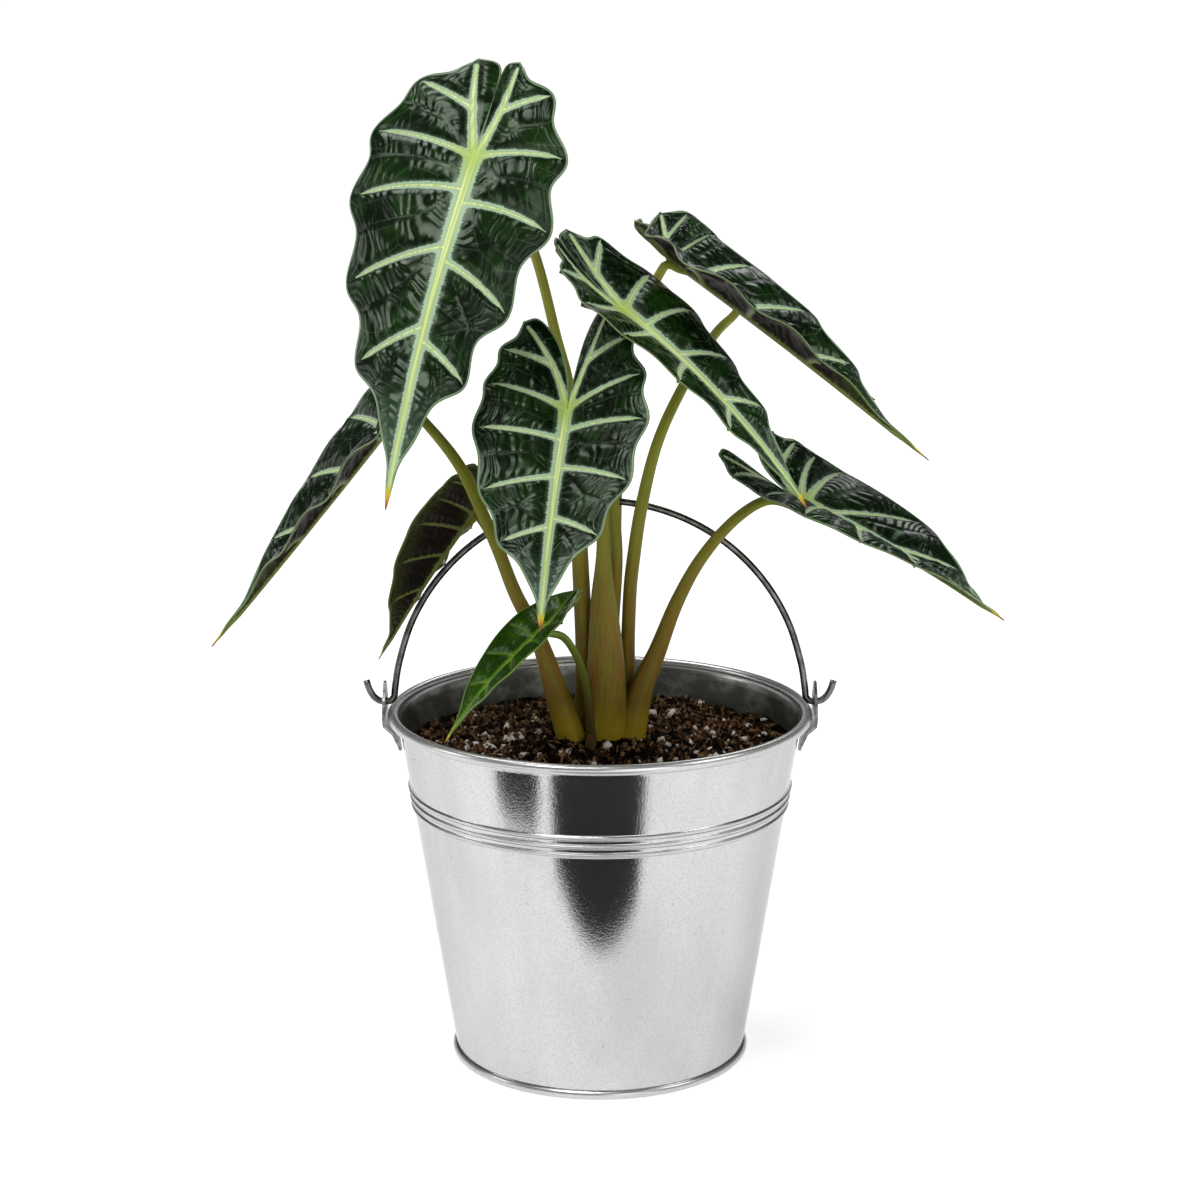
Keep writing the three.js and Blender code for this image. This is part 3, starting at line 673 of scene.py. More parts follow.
def bent_blade(leaf, side, flat, v, t):
    """Flat points bent to the leaf's shape: x to the tip, y to the left, z out of the face."""
    half = leaf.half(side)
    length = leaf.length
    fx, fy = flat[..., 0], flat[..., 1]
    back = np.clip(-fx / LOBE_LENGTH, 0, 1)
    swing = math.radians(leaf.spread) * back
    turned_x = fx * np.cos(swing) + fy * np.sin(swing)
    turned_y = np.where(fx < 0, fy * np.cos(swing) - fx * np.sin(swing), fy)
    x = turned_x * length * np.where(turned_x < 0, leaf.lobe, 1)
    narrow = 1e-9 + LOBE_GAP * ease(back, 0.12, 0.4)
    y = np.where(fx < 0, narrow * np.logaddexp(0, turned_y / narrow), turned_y)
    y = np.maximum(y, 0) * length * half.width
    fold = np.radians(along(np.array(half.fold, float)[:, None], v / LAST_VEIN * 3)[..., 0])
    fold = fold - math.radians(half.cup) * y / (CUP_WIDTH * length * 2)
    wave = EDGE_WAVE * lobe_ripple(half_ripple(leaf, side), v) * calm_tip(v)
    rise = y * np.sin(fold) - wave * np.cos(FULL_TURN * v) * t * t
    bend = np.where(
        x < 0, math.radians(leaf.lobe_droop or STRAIGHT) / (LOBE_LENGTH * length),
        math.radians(leaf.droop or STRAIGHT) / length)
    angle = bend * np.abs(x)
    sweep = np.where(x > 0, math.radians(leaf.side_bend) / length * x * x * 0.5, 0)
    return np.stack([
        np.sign(x) * (np.sin(angle) / bend + rise * np.sin(angle)),
        side * y * np.cos(fold) + sweep,
        rise * np.cos(angle) - (1 - np.cos(angle)) / bend], -1)


def leaf_axes(leaf):
    """A blade's own axes in the frame: to its tip, to its left and out of its face."""
    heading, pitch, roll = (math.radians(a) for a in (leaf.heading, leaf.pitch, leaf.roll))
    ahead = np.array([math.cos(heading) * math.cos(pitch),
                      math.sin(heading) * math.cos(pitch), -math.sin(pitch)])
    level = np.array([-math.sin(heading), math.cos(heading), 0])
    left = level * math.cos(roll) + np.cross(ahead, level) * math.sin(roll)
    return np.array([ahead, left, np.cross(ahead, left)])


def polyline_distance(points, line):
    """Distance of each point from a line of points, and how far along it the nearest is."""
    start, end = line[:-1], line[1:]
    step = end - start
    size = np.linalg.norm(step, axis=1)
    run = np.concatenate([[0], np.cumsum(size)])
    gap = points[:, None, :] - start[None]
    f = np.clip((gap * step).sum(2) / np.maximum(size, 1e-9) ** 2, 0, 1)
    distance = np.linalg.norm(gap - f[..., None] * step, axis=2)
    nearest = distance.argmin(1)
    rows = np.arange(len(points))
    return distance[rows, nearest], run[nearest] + f[rows, nearest] * size[nearest]


def vein_lines(veins, scale):
    """Centre lines of a half's veins in millimetres: midrib, lobe vein, then the side veins."""
    share = np.linspace(0, VEIN_REACH, 24)
    lines = [np.stack([np.linspace(0, MIDRIB_REACH, 60), np.zeros(60)], 1)]
    lines.append(np.linspace(0, LOBE_VEIN_REACH, 24)[:, None] * veins[1][0])
    for vein in DRAWN_VEINS:
        lines.append(flat_blade(vein, share, veins))
    return [line * scale for line in lines]


def vein_field(flat, veins, scale, settings, leaf):
    """What the veins do at each flat point, as columns.

    These are how far the pale bands and the bright cores are, the distance along the nearest
    vein and from it, the gap to the second nearest vein, and the ridges' phase.
    """
    points = flat.reshape(-1, 2) * scale
    size = growth(leaf, 0.6)
    rib, vein = (value / MM / 2 * size for value in (settings.rib_width, settings.vein_width))
    rows = []
    for i, line in enumerate(vein_lines(veins, scale)):
        distance, run = polyline_distance(points, line)
        share = run / np.linalg.norm(np.diff(line, axis=0), axis=1).sum()
        if i < 2:
            width = (rib, rib * 0.68)[i] * (1 - 0.6 * share)
        else:
            width = vein * (1.12 - 0.55 * share) * (1 - 0.92 * ease(share, 0.8, 1.0))
        phase = run + (0.3 + 0.7 * ease(share, 0.7, 1.0)) * distance
        rows.append((distance, run, phase / (settings.ridge_spacing / MM * size) + 7.3 * i,
                     distance / width, distance / (width * (0.27 if i > 1 else 0.44))))
    distance, run, phase, band, core = (np.array(column) for column in zip(*rows))
    first, second = np.argsort(distance, axis=0)[:2]
    columns = np.arange(points.shape[0])
    soft = -np.log(np.exp(-4 * np.minimum(band, 12)).sum(0)) / 4
    return (np.maximum(soft, 0), core.min(0), run[first, columns], distance[first, columns],
            distance[second, columns] - distance[first, columns], phase[first, columns])


def blade_rows(roots, both, fine):
    """Side vein numbers of the rows of a half; both halves meet the midrib at the same places."""
    lobe = np.linspace(0, JUNCTION_VEIN, 2 * max(6, int(LOBE_ROWS * fine)) + 1)
    stations = np.unique(np.round(np.concatenate(
        [np.linspace(0, 1, int(BLADE_ROWS * fine)), *(r[JUNCTION_VEIN:] for r in both)]), 6))
    keep = np.concatenate([[True], np.diff(stations) > SMALLEST_STEP])
    exact = np.isin(stations, np.round(np.concatenate([r[JUNCTION_VEIN:] for r in both]), 6))
    stations = stations[keep | exact]
    ahead = np.interp(stations, roots[JUNCTION_VEIN:], range(JUNCTION_VEIN, LAST_VEIN + 1))
    return np.concatenate([lobe[:-1], ahead])


def notch_edge(share):
    """Points on the edge of a lobe that faces the other lobe, share from its tip (0)."""
    return along(NOTCH_EDGE, share * (len(NOTCH_EDGE) - 1))


def blade_sheet(leaf, settings):
    """The surface of a blade without its relief, with what the veins do at each point."""
    fine = growth(leaf, 0.7)
    both = [half_veins(leaf, side)[0] for side in (1, -1)]
    grids = []
    for side in (1, -1):
        veins = half_veins(leaf, side)
        ripple = half_ripple(leaf, side)
        scale = np.array([leaf.length, leaf.length * leaf.half(side).width])
        rows = blade_rows(veins[0], both, fine)
        t = np.linspace(0, 1, int(BLADE_COLUMNS * fine)) ** 0.92
        v, t = np.meshgrid(rows, t, indexing="ij")
        t = np.where((v == 0) | (v == LAST_VEIN), 0, t)
        outer = flat_blade(v, t, veins, ripple)
        lobe_rows = rows[rows <= JUNCTION_VEIN + 1e-9]
        s, lobe_v = np.meshgrid(np.linspace(0, 1, max(5, int(LOBE_COLUMNS * fine))), lobe_rows)
        spine = flat_blade(lobe_v, 0 * lobe_v, veins)
        notch = notch_edge(lobe_v / JUNCTION_VEIN)
        inner = notch + (spine - notch) * np.where(lobe_v == 0, 1, s)[..., None]
        rim = np.vstack([flat_blade(np.linspace(0, LAST_VEIN, 400), 1, veins, ripple)[::-1],
                         notch_edge(np.linspace(0, 1, 60))]) * scale
        for flat, vein, share in ((outer, v, t), (inner, lobe_v, 0 * lobe_v)):
            local = bent_blade(leaf, side, flat, vein, share)
            values = np.stack([
                *vein_field(flat, veins, scale, settings, leaf),
                polyline_distance(flat.reshape(-1, 2) * scale, rim)[0],
                flat[..., 0].ravel(), flat[..., 1].ravel() * side], 1)
            grids.append((np.array(leaf.at) + local @ leaf_axes(leaf), values, side < 0))
    return joined(*grids)


def build_blade(name, leaf, settings, materials):
    """Both faces of a blade with its quilting, ribs and rounded edge."""
    points, values, quads = blade_sheet(leaf, settings)
    band, core, run, gap, seam, phase, margin, tipward, across = values.T
    normals = vertex_normals(points, quads)
    size = growth(leaf, 0.5)
    seed = sum(map(ord, name))
    x, y = tipward * leaf.length, across * leaf.length
    phase = phase + 0.4 * wander(x / 2, y / 2, seed)
    wave = 0.5 + 0.5 * np.cos(FULL_TURN * phase)
    room = ease(band, 0.9, 1.5) * ease(seam, 0.3, 2.8) * ease(margin, 0.4, 2.4)
    strength = np.maximum(0.75 + 0.35 * wander(x / 1.6, y / 1.6, seed + 1), 0)
    relief = settings.puff / MM * size * ease(band, 0.6, 3.4) * ease(margin, 0.0, 5.0)
    relief = relief + settings.ridge / MM * leaf.ripple ** 0.5 * room * wave * strength
    relief = relief - VEIN_GROOVE * (1 - ease(band, 0.0, 0.8)) * ease(margin, 0.0, 2.0)
    seam_line = (1 - ease(seam, 0.0, 0.9)) * ease(band, 2, 4) * ease(margin, 0.4, 2.0)
    top = points + normals * (relief - SEAM_GROOVE * seam_line)[:, None]
    rib = np.exp(-(band / 0.75) ** 2) * (
        RIB_DEPTH * size * (1 - 0.7 * np.clip(tipward, 0, 1)) + 0.15)
    rib = rib * ease(margin, 0.1, 1.2)
    bottom = top - normals * (settings.thickness / MM + rib)[:, None]
    edges = open_edges(quads)
    a, b = edges.T
    edge_way = np.zeros_like(points)
    for corner in (a, b):
        np.add.at(edge_way, corner, points[b] - points[a])
    outward = np.cross(edge_way, normals)
    outward /= np.maximum(np.linalg.norm(outward, axis=1), 1e-9)[:, None]
    lip = (top + bottom) / 2 + outward * LIP
    count = len(points)
    used = np.unique(edges)
    lip_index = np.zeros(count, int)
    lip_index[used] = 2 * count + np.arange(len(used))
    upper_rim = np.stack([b, a, lip_index[a], lip_index[b]], 1)
    lower_rim = np.stack([lip_index[b], lip_index[a], a + count, b + count], 1)
    every = np.concatenate([np.arange(count), np.arange(count), used])
    attributes = {"veins": (band, core, run), "field": (phase, seam, margin),
                  "blade": (tipward, across, gap)}
    return new_piece(
        f"leaf_{name}", np.vstack([top, bottom, lip[used]]),
        np.vstack([quads, quads[:, ::-1] + count, upper_rim, lower_rim]), materials,
        replaces=[f"blade_{name}"],
        attributes={key: np.stack(value, 1)[every] for key, value in attributes.items()},
        face_materials=[0] * len(quads) + [1] * len(quads) + [0] * (2 * len(edges)))


def ridge_height(finish, phase, band, seam, margin):
    """Small pillows that stand across the veins, flat on the bands and at the edge."""
    wave = (phase * FULL_TURN).maths("COSINE") * 0.5 + 0.5
    room = finish.smooth(band, 0.9, 1.45) * finish.smooth(seam, 0.5, 2.6)
    return wave * room * finish.smooth(margin, 0.3, 2.0)


def upper_face(settings, young=False):
    """Glossy upper face: feathered pale bands on the veins, bright cores, pale margin, painted sheen
    towards the tip, warm tip.
    """
    finish = Finish("young_upper_face" if young else "upper_face")
    band, core, run = finish.attribute("veins")
    phase, seam, margin = finish.attribute("field")
    tipward, across, gap = finish.attribute("blade")
    place = finish.place()
    green = settings.fresh if young else settings.green
    pale = YOUNG_PALE if young else settings.pale
    lime = YOUNG_LIME if young else settings.lime
    cloud = finish.noise(place, 90, 3)
    ridge = ridge_height(finish, phase, band, seam, margin)
    base = finish.mix(finish.smooth(cloud + ridge * 0.12, 0.45, 0.8), green, MID_GREEN[young])
    cells = finish.add(
        "ShaderNodeTexVoronoi", {"feature": "DISTANCE_TO_EDGE"},
        vector=finish.vector(tipward, across, 0.0), scale=9.0, randomness=0.9)
    net = finish.fade(cells, 0.006, 0.02) * finish.smooth(band, 1.3, 2.4) * 0.15
    collector = finish.fade(seam, 0.15, 0.5) * finish.smooth(band, 1.5, 2.6)
    collector = collector * finish.smooth(finish.noise(place, 160, 1), 0.40, 0.6) * 0.5
    spikes = finish.noise(finish.vector(run * 1.5, gap * 0.25, across * 3), 1.0, 3, 0.65)
    fringe = band + (spikes - 0.5) * -0.9
    mask = finish.fade(fringe, 0.88, 1.06)
    if young:
        mask = mask * (1 - finish.smooth(across.maths("ABSOLUTE"), 0.02, 0.07) * 0.65)
    streak = finish.noise(finish.vector(across * 170, tipward * 3, 0.0), 1.0, 2)
    core_colour = finish.mix(finish.smooth(streak, 0.38, 0.62), lime, CORE_BRIGHT[young])
    core_edge = finish.smooth(core, 0.68, 0.9) * finish.fade(core, 1.0, 1.25)
    heart = finish.fade(tipward.maths("ABSOLUTE") + across.maths("ABSOLUTE"), 0.0, 0.13)
    tip = finish.smooth(tipward + (cloud - 0.5) * 0.02, 0.915, 1.0)
    colour = finish.layers(
        base,
        (net.maths("MAXIMUM", collector), (0.11, 0.20, 0.10)),
        # Painted sheen: grey green towards the tip, standing in for the reflection on the tip's curve
        (finish.smooth(tipward, 0.60, 1.0) * TIP_PAINTED_SHEEN[young], (0.11, 0.18, 0.12)),
        (finish.fade(fringe, 0.95, 1.7) * 0.14, pale),
        (mask, pale),
        (finish.fade(core, 0.8, 1.15) * mask, core_colour),
        (core_edge * mask * 0.6, CORE_EDGE[young]),
        (heart * mask * 0.7, (0.34, 0.48, 0.05)),
        (finish.fade(margin, 0.22, 0.6) * 0.9, BORDER[young]),
        (finish.fade(margin, 0.0, 0.2) * 0.7, (0.13, 0.15, 0.03)),
        (finish.smooth(tip, 0.0, 0.4), finish.ramp(TIP_STOPS, tip)))
    lumps = finish.noise(place, 200, 1)
    height = ridge * (0.4 + lumps * 1.1) * PILLOW_HEIGHT[young] + lumps * LUMP_HEIGHT[young]
    height = height + finish.noise(place, 1500, 2) * 0.01
    return finish.surface(
        base_color=colour, roughness=0.21 + finish.noise(place, 140, 3) * 0.12 + mask * 0.2,
        specular_ior_level=FACE_GLOSS[young], specular_tint=(0.82, 1.0, 0.76),
        normal=finish.bump(height, 0.00040))


def lower_face(settings, young=False):
    """Matt purple brown underside with olive ribs and a green edge."""
    finish = Finish("young_under_face" if young else "under_face")
    band, _, run = finish.attribute("veins")
    phase, seam, margin = finish.attribute("field")
    tipward, across, gap = finish.attribute("blade")
    place = finish.place()
    under = YOUNG_UNDER if young else settings.under
    cloud = finish.noise(place, 120, 3)
    ridge = ridge_height(finish, phase, band, seam, margin)
    feather = finish.noise(finish.vector(run * 0.9, gap * 0.22, across * 3), 1.0, 3)
    veil = finish.smooth(feather, 0.5, 0.72) * finish.fade(ridge, 0.05, 0.5)
    spikes = finish.noise(finish.vector(run * 1.8, gap * 0.3, across * 4), 1.0, 2)
    mask = finish.fade(band - (spikes - 0.5) * 0.9, 0.4, 0.85)
    colour = finish.layers(
        under,
        (finish.smooth(cloud, 0.3, 0.75), UNDER_SHADE[young]),
        (0.5 - finish.smooth(margin, 0.5, 8.0) * 0.5, (0.05, 0.07, 0.012)),
        (veil * 0.4, (0.085, 0.075, 0.062)),
        (mask * 0.75, (0.19, 0.23, 0.05)),
        (finish.fade(margin, 0.2, 0.8) * 0.75, (0.09, 0.14, 0.03)),
        (finish.smooth(tipward, 0.95, 1.0), (0.38, 0.28, 0.03)))
    height = ridge * -0.7 + finish.noise(place, 500, 2) * 0.3
    return finish.surface(
        base_color=colour, roughness=0.38 + cloud * 0.2, specular_ior_level=0.14,
        normal=finish.bump(height, 0.0003))


def tube(path, sides, spacing, radius_at, across=(1.0, 0.0, 0.0)):
    """A closed tube along a smooth path: points, then angle, length and share, then quads."""
    path = np.asarray(path, float)
    sizes = np.linalg.norm(np.diff(path[:, :3], axis=0), axis=1)
    steps = [np.arange(n) / n for n in np.maximum(1, np.round(sizes / spacing)).astype(int)]
    u = np.concatenate([i + s for i, s in enumerate(steps)] + [[len(path) - 1]])
    samples = along(path, u)
    centres = samples[:, :3]
    tangents = np.gradient(centres, axis=0)
    tangents /= np.linalg.norm(tangents, axis=1)[:, None]
    run = np.concatenate([[0], np.cumsum(np.linalg.norm(np.diff(centres, axis=0), axis=1))])
    turn = np.linspace(0, FULL_TURN, sides + 1)
    across = np.array(across)
    rings = []
    for centre, tangent, radius, length in zip(centres, tangents, samples[:, 3], run):
        side = np.cross(tangent, across)
        side /= np.linalg.norm(side)
        across = np.cross(side, tangent)
        reach = radius * radius_at(turn, length, run[-1])
        rings.append(centre + np.outer(reach * np.cos(turn), across)
                     - np.outer(reach * np.sin(turn), side))
    rings = np.array(rings)
    rings[:, -1] = rings[:, 0]
    first, last = (np.repeat(r[:-1].mean(0)[None], sides + 1, 0) for r in (rings[0], rings[-1]))
    angle, length = np.meshgrid(turn, run)
    values = np.stack([angle, length, length / run[-1]], -1)
    return joined((np.concatenate([[first], rings, [last]]),
                   np.concatenate([values[:1], values, values[-1:]]), False))


def petiole_path(points, leaf):
    """The petiole carried on to its blade and a little way under the midrib."""
    ahead, _, up = leaf_axes(leaf)
    at = np.array(leaf.at, float)
    radius = points[-1][3]
    start = np.array(points[0], float)
    below = start + (start - np.array(points[1])) * (4.0 / (points[1][2] - points[0][2]))
    below[3] = start[3] * 1.04
    path = [below.tolist(), *points]
    for share, drop, clear, narrow in RUN_ON:
        point = at + ahead * leaf.length * share - up * (radius * drop + clear)
        path.append([*point, radius * narrow])
    return path


def lap_round(turn, length, seed):
    """How far round from its sheath's free edge a point on a petiole lies, from 0 to 1."""
    start = 3.4 + 1.9 * ((seed * 0.618) % 1)
    return ((turn - start - LAP_TWIST * length) % FULL_TURN) / FULL_TURN


def stalk_shape(seed, sheathed):
    """Radius factors of a petiole's section: the sheath's overlapping edge fades upwards."""
    def radius_at(turn, length, total):
        low = 1 - ease(length, 0.1 * total, 0.48 * total) if sheathed else 0.0
        lap = lap_round(turn, length, seed)
        edge = (1 - lap) * ease(lap, 0.0, 0.03)
        groove = 0.05 * np.exp(-((lap - 0.5) / 0.08) ** 2)
        ripple = 0.012 * np.sin(7 * turn + seed) + 0.008 * np.sin(11 * turn + 0.05 * length)
        return 0.97 + low * (0.12 * edge - 0.04) - (1 - low) * groove + ripple
    return radius_at


def build_stalk(name, path, sides, spacing, seed, sheathed, material, replaced):
    """A petiole or stub, with angle, length and distance from the sheath's free edge on it."""
    points, values, quads = tube(path, sides, spacing, stalk_shape(seed, sheathed))
    angle, length, share = values.T
    lap = lap_round(angle, length, seed) + 10 * ease(share, 0.25, 0.5)
    new_piece(name, points, quads, [material], replaces=[replaced],
              attributes={"stalk": np.stack([angle, length, lap], -1)})


def stalk_finish(settings):
    """Satin stalk: olive above, brown red and streaked towards the foot, with fine pale streaks as
    painted highlights and a green foot lightened as painted light.
    """
    finish = Finish("petiole")
    angle, length, lap = finish.attribute("stalk")
    place = finish.place()
    z = finish.parts(place)[2]
    cosine, sine = angle.maths("COSINE"), angle.maths("SINE")
    streaks = finish.noise(finish.vector(cosine, sine, length * 0.016), 3.6, 5, 0.68)
    fine = finish.noise(finish.vector(cosine, sine, length * 0.03), 15, 2)
    mottle = finish.noise(finish.squeezed(place, 0.4), 120, 3)
    upper = finish.smooth(z + (mottle - 0.5) * 0.03, 0.122, 0.195)
    olive = finish.mix(finish.smooth(z, 0.17, 0.215) * 0.7, settings.olive, (0.34, 0.36, 0.05))
    blush = finish.smooth(streaks + fine * 0.25, 0.60, 0.76) * (0.55 - upper * 0.3)
    # Green band at the stalks' foot, lightened as painted light where the stem base is shaded
    foot = finish.fade(z + (mottle - 0.5) * 0.012, 0.103, 0.116)
    colour = finish.layers(
        settings.maroon,
        (finish.smooth(streaks, 0.45, 0.55), (0.185, 0.185, 0.011)),
        (upper, olive),
        (blush, (0.12, 0.033, 0.012)),
        (foot * 0.65, settings.foot),
        # Painted highlights: fine pale streaks where the fine relief stands up
        (finish.smooth(fine, 0.5, 0.75) * 0.3, (0.24, 0.21, 0.04)),
        (finish.fade(lap, 0.008, 0.045) * 0.85, (0.07, 0.018, 0.008)))
    return finish.surface(
        base_color=colour, roughness=0.42 + mottle * 0.2, specular_ior_level=0.2,
        normal=finish.bump(streaks * 0.5 + fine * 0.5, 0.00028))


def young_stalk_finish():
    """Bright green stalk of the youngest leaf."""
    finish = Finish("young_petiole")
    place = finish.place()
    z = finish.parts(place)[2]
    mottle = finish.noise(finish.squeezed(place, 0.4), 160, 3)
    colour = finish.mix(
        finish.smooth(z + (mottle - 0.5) * 0.01, 0.106, 0.140), (0.075, 0.052, 0.008),
        (0.115, 0.17, 0.012))
    return finish.surface(
        base_color=colour, roughness=0.36 + mottle * 0.12, normal=finish.bump(mottle, 0.0002))


def wall_radius(z):
    return WALL_AT_FLOOR + WALL_TAPER * z


def round_turn(sides):
    """Angles round the bucket's axis that end exactly where they start."""
    return np.append(np.linspace(0, FULL_TURN, sides + 1)[:-1], 0)


def arc(centre, radius, start, end, count):
    """Points on an arc in a section, with its angles in degrees."""
    turns = np.radians(np.linspace(start, end, count))
    return [(centre[0] + radius * math.cos(a), centre[1] + radius * math.sin(a)) for a in turns]


def revolve(name, outline, material, replaced):
    """A piece turned about the bucket's axis from a closed outline, material on its left."""
    turn = round_turn(BUCKET_SIDES)
    radius, height = np.array([*outline, outline[0]], float).T
    points, quads = one_grid(np.stack([
        radius * np.cos(turn)[:, None], radius * np.sin(turn)[:, None],
        np.repeat(height[None], len(turn), 0)], -1))
    return new_piece(name, points, quads, [material], replaces=[replaced])


def wall_outline():
    """Section of the wall: outside up over the beads and the rolled rim, inside down."""
    heights = np.concatenate([
        [WALL_FOOT, 1.5, 1.8, 2.2, 2.7, 4], np.linspace(9, 78.6, 11), np.linspace(79, 88, 60),
        np.linspace(88.6, BUCKET_HEIGHT - 2.8, 10)])
    outside = []
    for z in heights:
        pressed = sum(BEAD_DEPTH * np.exp(-((z - bead) / BEAD_WIDTH) ** 4) for bead in BEADS)
        outside.append((wall_radius(z) + pressed, z))
    roll = arc((RIM_RADIUS - RIM_ROLL, BUCKET_HEIGHT - RIM_ROLL), RIM_ROLL, -150, 198, 30)
    inside = [(r - SHEET_THICKNESS, z) for r, z in reversed(outside)]
    return outside + roll + inside


def zinc_finish(settings):
    """Bright galvanised sheet: fine grain, faint drawn haze, a few dull specks; dull inside."""
    finish = Finish("galvanised_sheet")
    place = finish.place()
    x, y, z = finish.parts(place)
    proud = (x * x + y * y).maths("SQRT") - (z * WALL_TAPER + WALL_AT_FLOOR * MM)
    inside = finish.smooth(proud, -0.0001, -0.0003) * finish.smooth(z, 0.1078, 0.1068)
    grain = finish.noise(place, 1 / settings.grain, 2, 0.6, 0.6)
    stain = finish.noise(finish.squeezed(place, 1.6), 65, 5, 0.65)
    haze = finish.noise(finish.squeezed(place, 0.35), 55, 4)
    specks = finish.smooth(finish.noise(place, 620, 1), 0.74, 0.79)
    bright = finish.layers(
        settings.zinc,
        (finish.smooth(haze, 0.3, 0.7), (0.53, 0.535, 0.528)),
        (finish.smooth(grain, 0.42, 0.66) * 0.5, (0.43, 0.432, 0.425)),
        (specks * 0.35, (0.25, 0.24, 0.22)))
    dull = finish.layers(
        settings.dull,
        (finish.smooth(stain + (z - 0.1) * 8, 0.42, 0.68), (0.34, 0.36, 0.33)),
        (finish.smooth(grain, 0.5, 0.8) * 0.25, (0.40, 0.40, 0.37)))
    rolled = finish.smooth(z, 0.1072, 0.1079)
    bent = rolled.maths("MAXIMUM", finish.smooth(proud, 0.0002, 0.0005) * (1 - inside))
    return finish.surface(
        base_color=finish.mix(inside, bright, dull), metallic=1.0 - inside * 0.15 - bent * 0.28,
        roughness=0.05 + haze * 0.06 + grain * 0.05 + inside * 0.26 + bent * 0.15,
        specular_tint=(0.76, 0.76, 0.76), normal=finish.bump(grain * 0.9 + haze * 0.3, 0.000032))


def metal_finish(name, dark, light, scale, detail, light_from, rough, depth):
    """Dulled metal between two greys; rough is its roughness and how much that varies."""
    finish = Finish(name)
    haze = finish.noise(finish.place(), scale, detail)
    return finish.surface(
        base_color=finish.mix(finish.smooth(haze, 0.35, light_from), dark, light), metallic=1.0,
        roughness=rough[0] + haze * rough[1], normal=finish.bump(haze, depth))


def soil_height(x, y):
    """Height of the potting mix at a place, with its mound round the stems."""
    radius = np.hypot(x, y)
    mound = 3.4 * (1 - ease(radius, 8, 34)) + 0.8 * (1 - ease(radius, 30, 56))
    lumps = 0.75 * wander(x / 2.2, y / 2.2, 11) + 0.35 * wander(x, y, 12)
    rim = ease(radius, 52, 60) * 0.5
    return SOIL_LEVEL - 0.6 + mound + lumps * (0.55 + 0.45 * ease(radius, 5, 20)) - rim


def soil_finish(settings):
    """Dark peat and coir between the crumbs."""
    finish = Finish("potting_mix")
    place = finish.place()
    crumb = finish.noise(place, 420, 5, 0.7)
    colour = finish.layers(
        settings.peat,
        (finish.smooth(crumb, 0.5, 0.8), (0.030, 0.015, 0.007)),
        (finish.smooth(finish.noise(place, 70, 3), 0.55, 0.75) * 0.4, (0.010, 0.006, 0.004)))
    return finish.surface(
        base_color=colour, roughness=0.9, specular_ior_level=0.04,
        normal=finish.bump(crumb, 0.0012))


def crumb_finish(name, stops, roughness, grain, depth):
    """Dry plant matter or a loose grain, whose colour follows its own tone."""
    finish = Finish(name)
    tone = finish.attribute("tone")[0]
    noise = finish.noise(finish.place(), grain, 3, 0.6)
    return finish.surface(
        base_color=finish.ramp(stops, tone * 0.75 + noise * 0.5 - 0.12), roughness=roughness,
        specular_ior_level=0.1, normal=finish.bump(noise, depth))


def scatter_tree(name, material):
    """Grains of random size and turn strewn on a surface, each dented by a noise of its own."""
    group = bpy.data.node_groups.new(name, "GeometryNodeTree")
    for label, kind in (("Geometry", "Geometry"), ("Seed", "Int"), ("Smallest", "Float"),
                        ("Largest", "Float"), ("Shape", "Vector"), ("Dent", "Float"),
                        ("Rounded", "Bool")):
        group.interface.new_socket(label, in_out="INPUT", socket_type=f"NodeSocket{kind}")
    group.interface.new_socket("Geometry", in_out="OUTPUT", socket_type="NodeSocketGeometry")
    tree = NodeTree(group)
    mesh, seed, smallest, largest, shape, dent, rounded, _ = tree.outputs(
        tree.add("NodeGroupInput"))

    def drawn(kind="FLOAT", **limits):
        """A random value for each grain."""
        return tree.add("FunctionNodeRandomValue", {"data_type": kind}, seed=seed,
                        output=1 if kind == "FLOAT" else 0, **limits)

    density = tree.add("GeometryNodeInputNamedAttribute", {"data_type": "FLOAT"}, name="density")
    points = tree.add(
        "GeometryNodeDistributePointsOnFaces", mesh=mesh, density=density, seed=seed)
    stretch = drawn("FLOAT_VECTOR", min=(0.6, 0.6, 0.6), max=(1.25, 1.25, 1.25))
    size = tree.vector_maths("SCALE", stretch, scale=drawn(min=smallest, max=largest))
    grains = tree.add(
        "GeometryNodeInstanceOnPoints", points=points,
        instance=tree.add("GeometryNodeMeshIcoSphere", radius=0.5, subdivisions=1),
        rotation=drawn("FLOAT_VECTOR", min=(0, 0, 0), max=(6.28, 6.28, 6.28)),
        scale=tree.vector_maths("MULTIPLY", size, shape))
    grains = tree.add(
        "GeometryNodeStoreNamedAttribute", {"data_type": "FLOAT", "domain": "INSTANCE"},
        geometry=grains, name="tone", value=drawn())
    loose = tree.add("GeometryNodeRealizeInstances", geometry=grains)
    noise = tree.noise(tree.add("GeometryNodeInputPosition"), 750.0, 1.0, output=1)
    push = tree.vector_maths("SUBTRACT", noise, (0.5, 0.5, 0.5))
    loose = tree.add("GeometryNodeSetPosition", geometry=loose,
                     offset=tree.vector_maths("SCALE", push, scale=dent))
    loose = tree.add("GeometryNodeSetShadeSmooth", geometry=loose, shade_smooth=rounded)
    loose = tree.add("GeometryNodeSetMaterial", geometry=loose, material=material)
    tree.join(tree.nodes.new("NodeGroupOutput").inputs[0], loose)
    return group


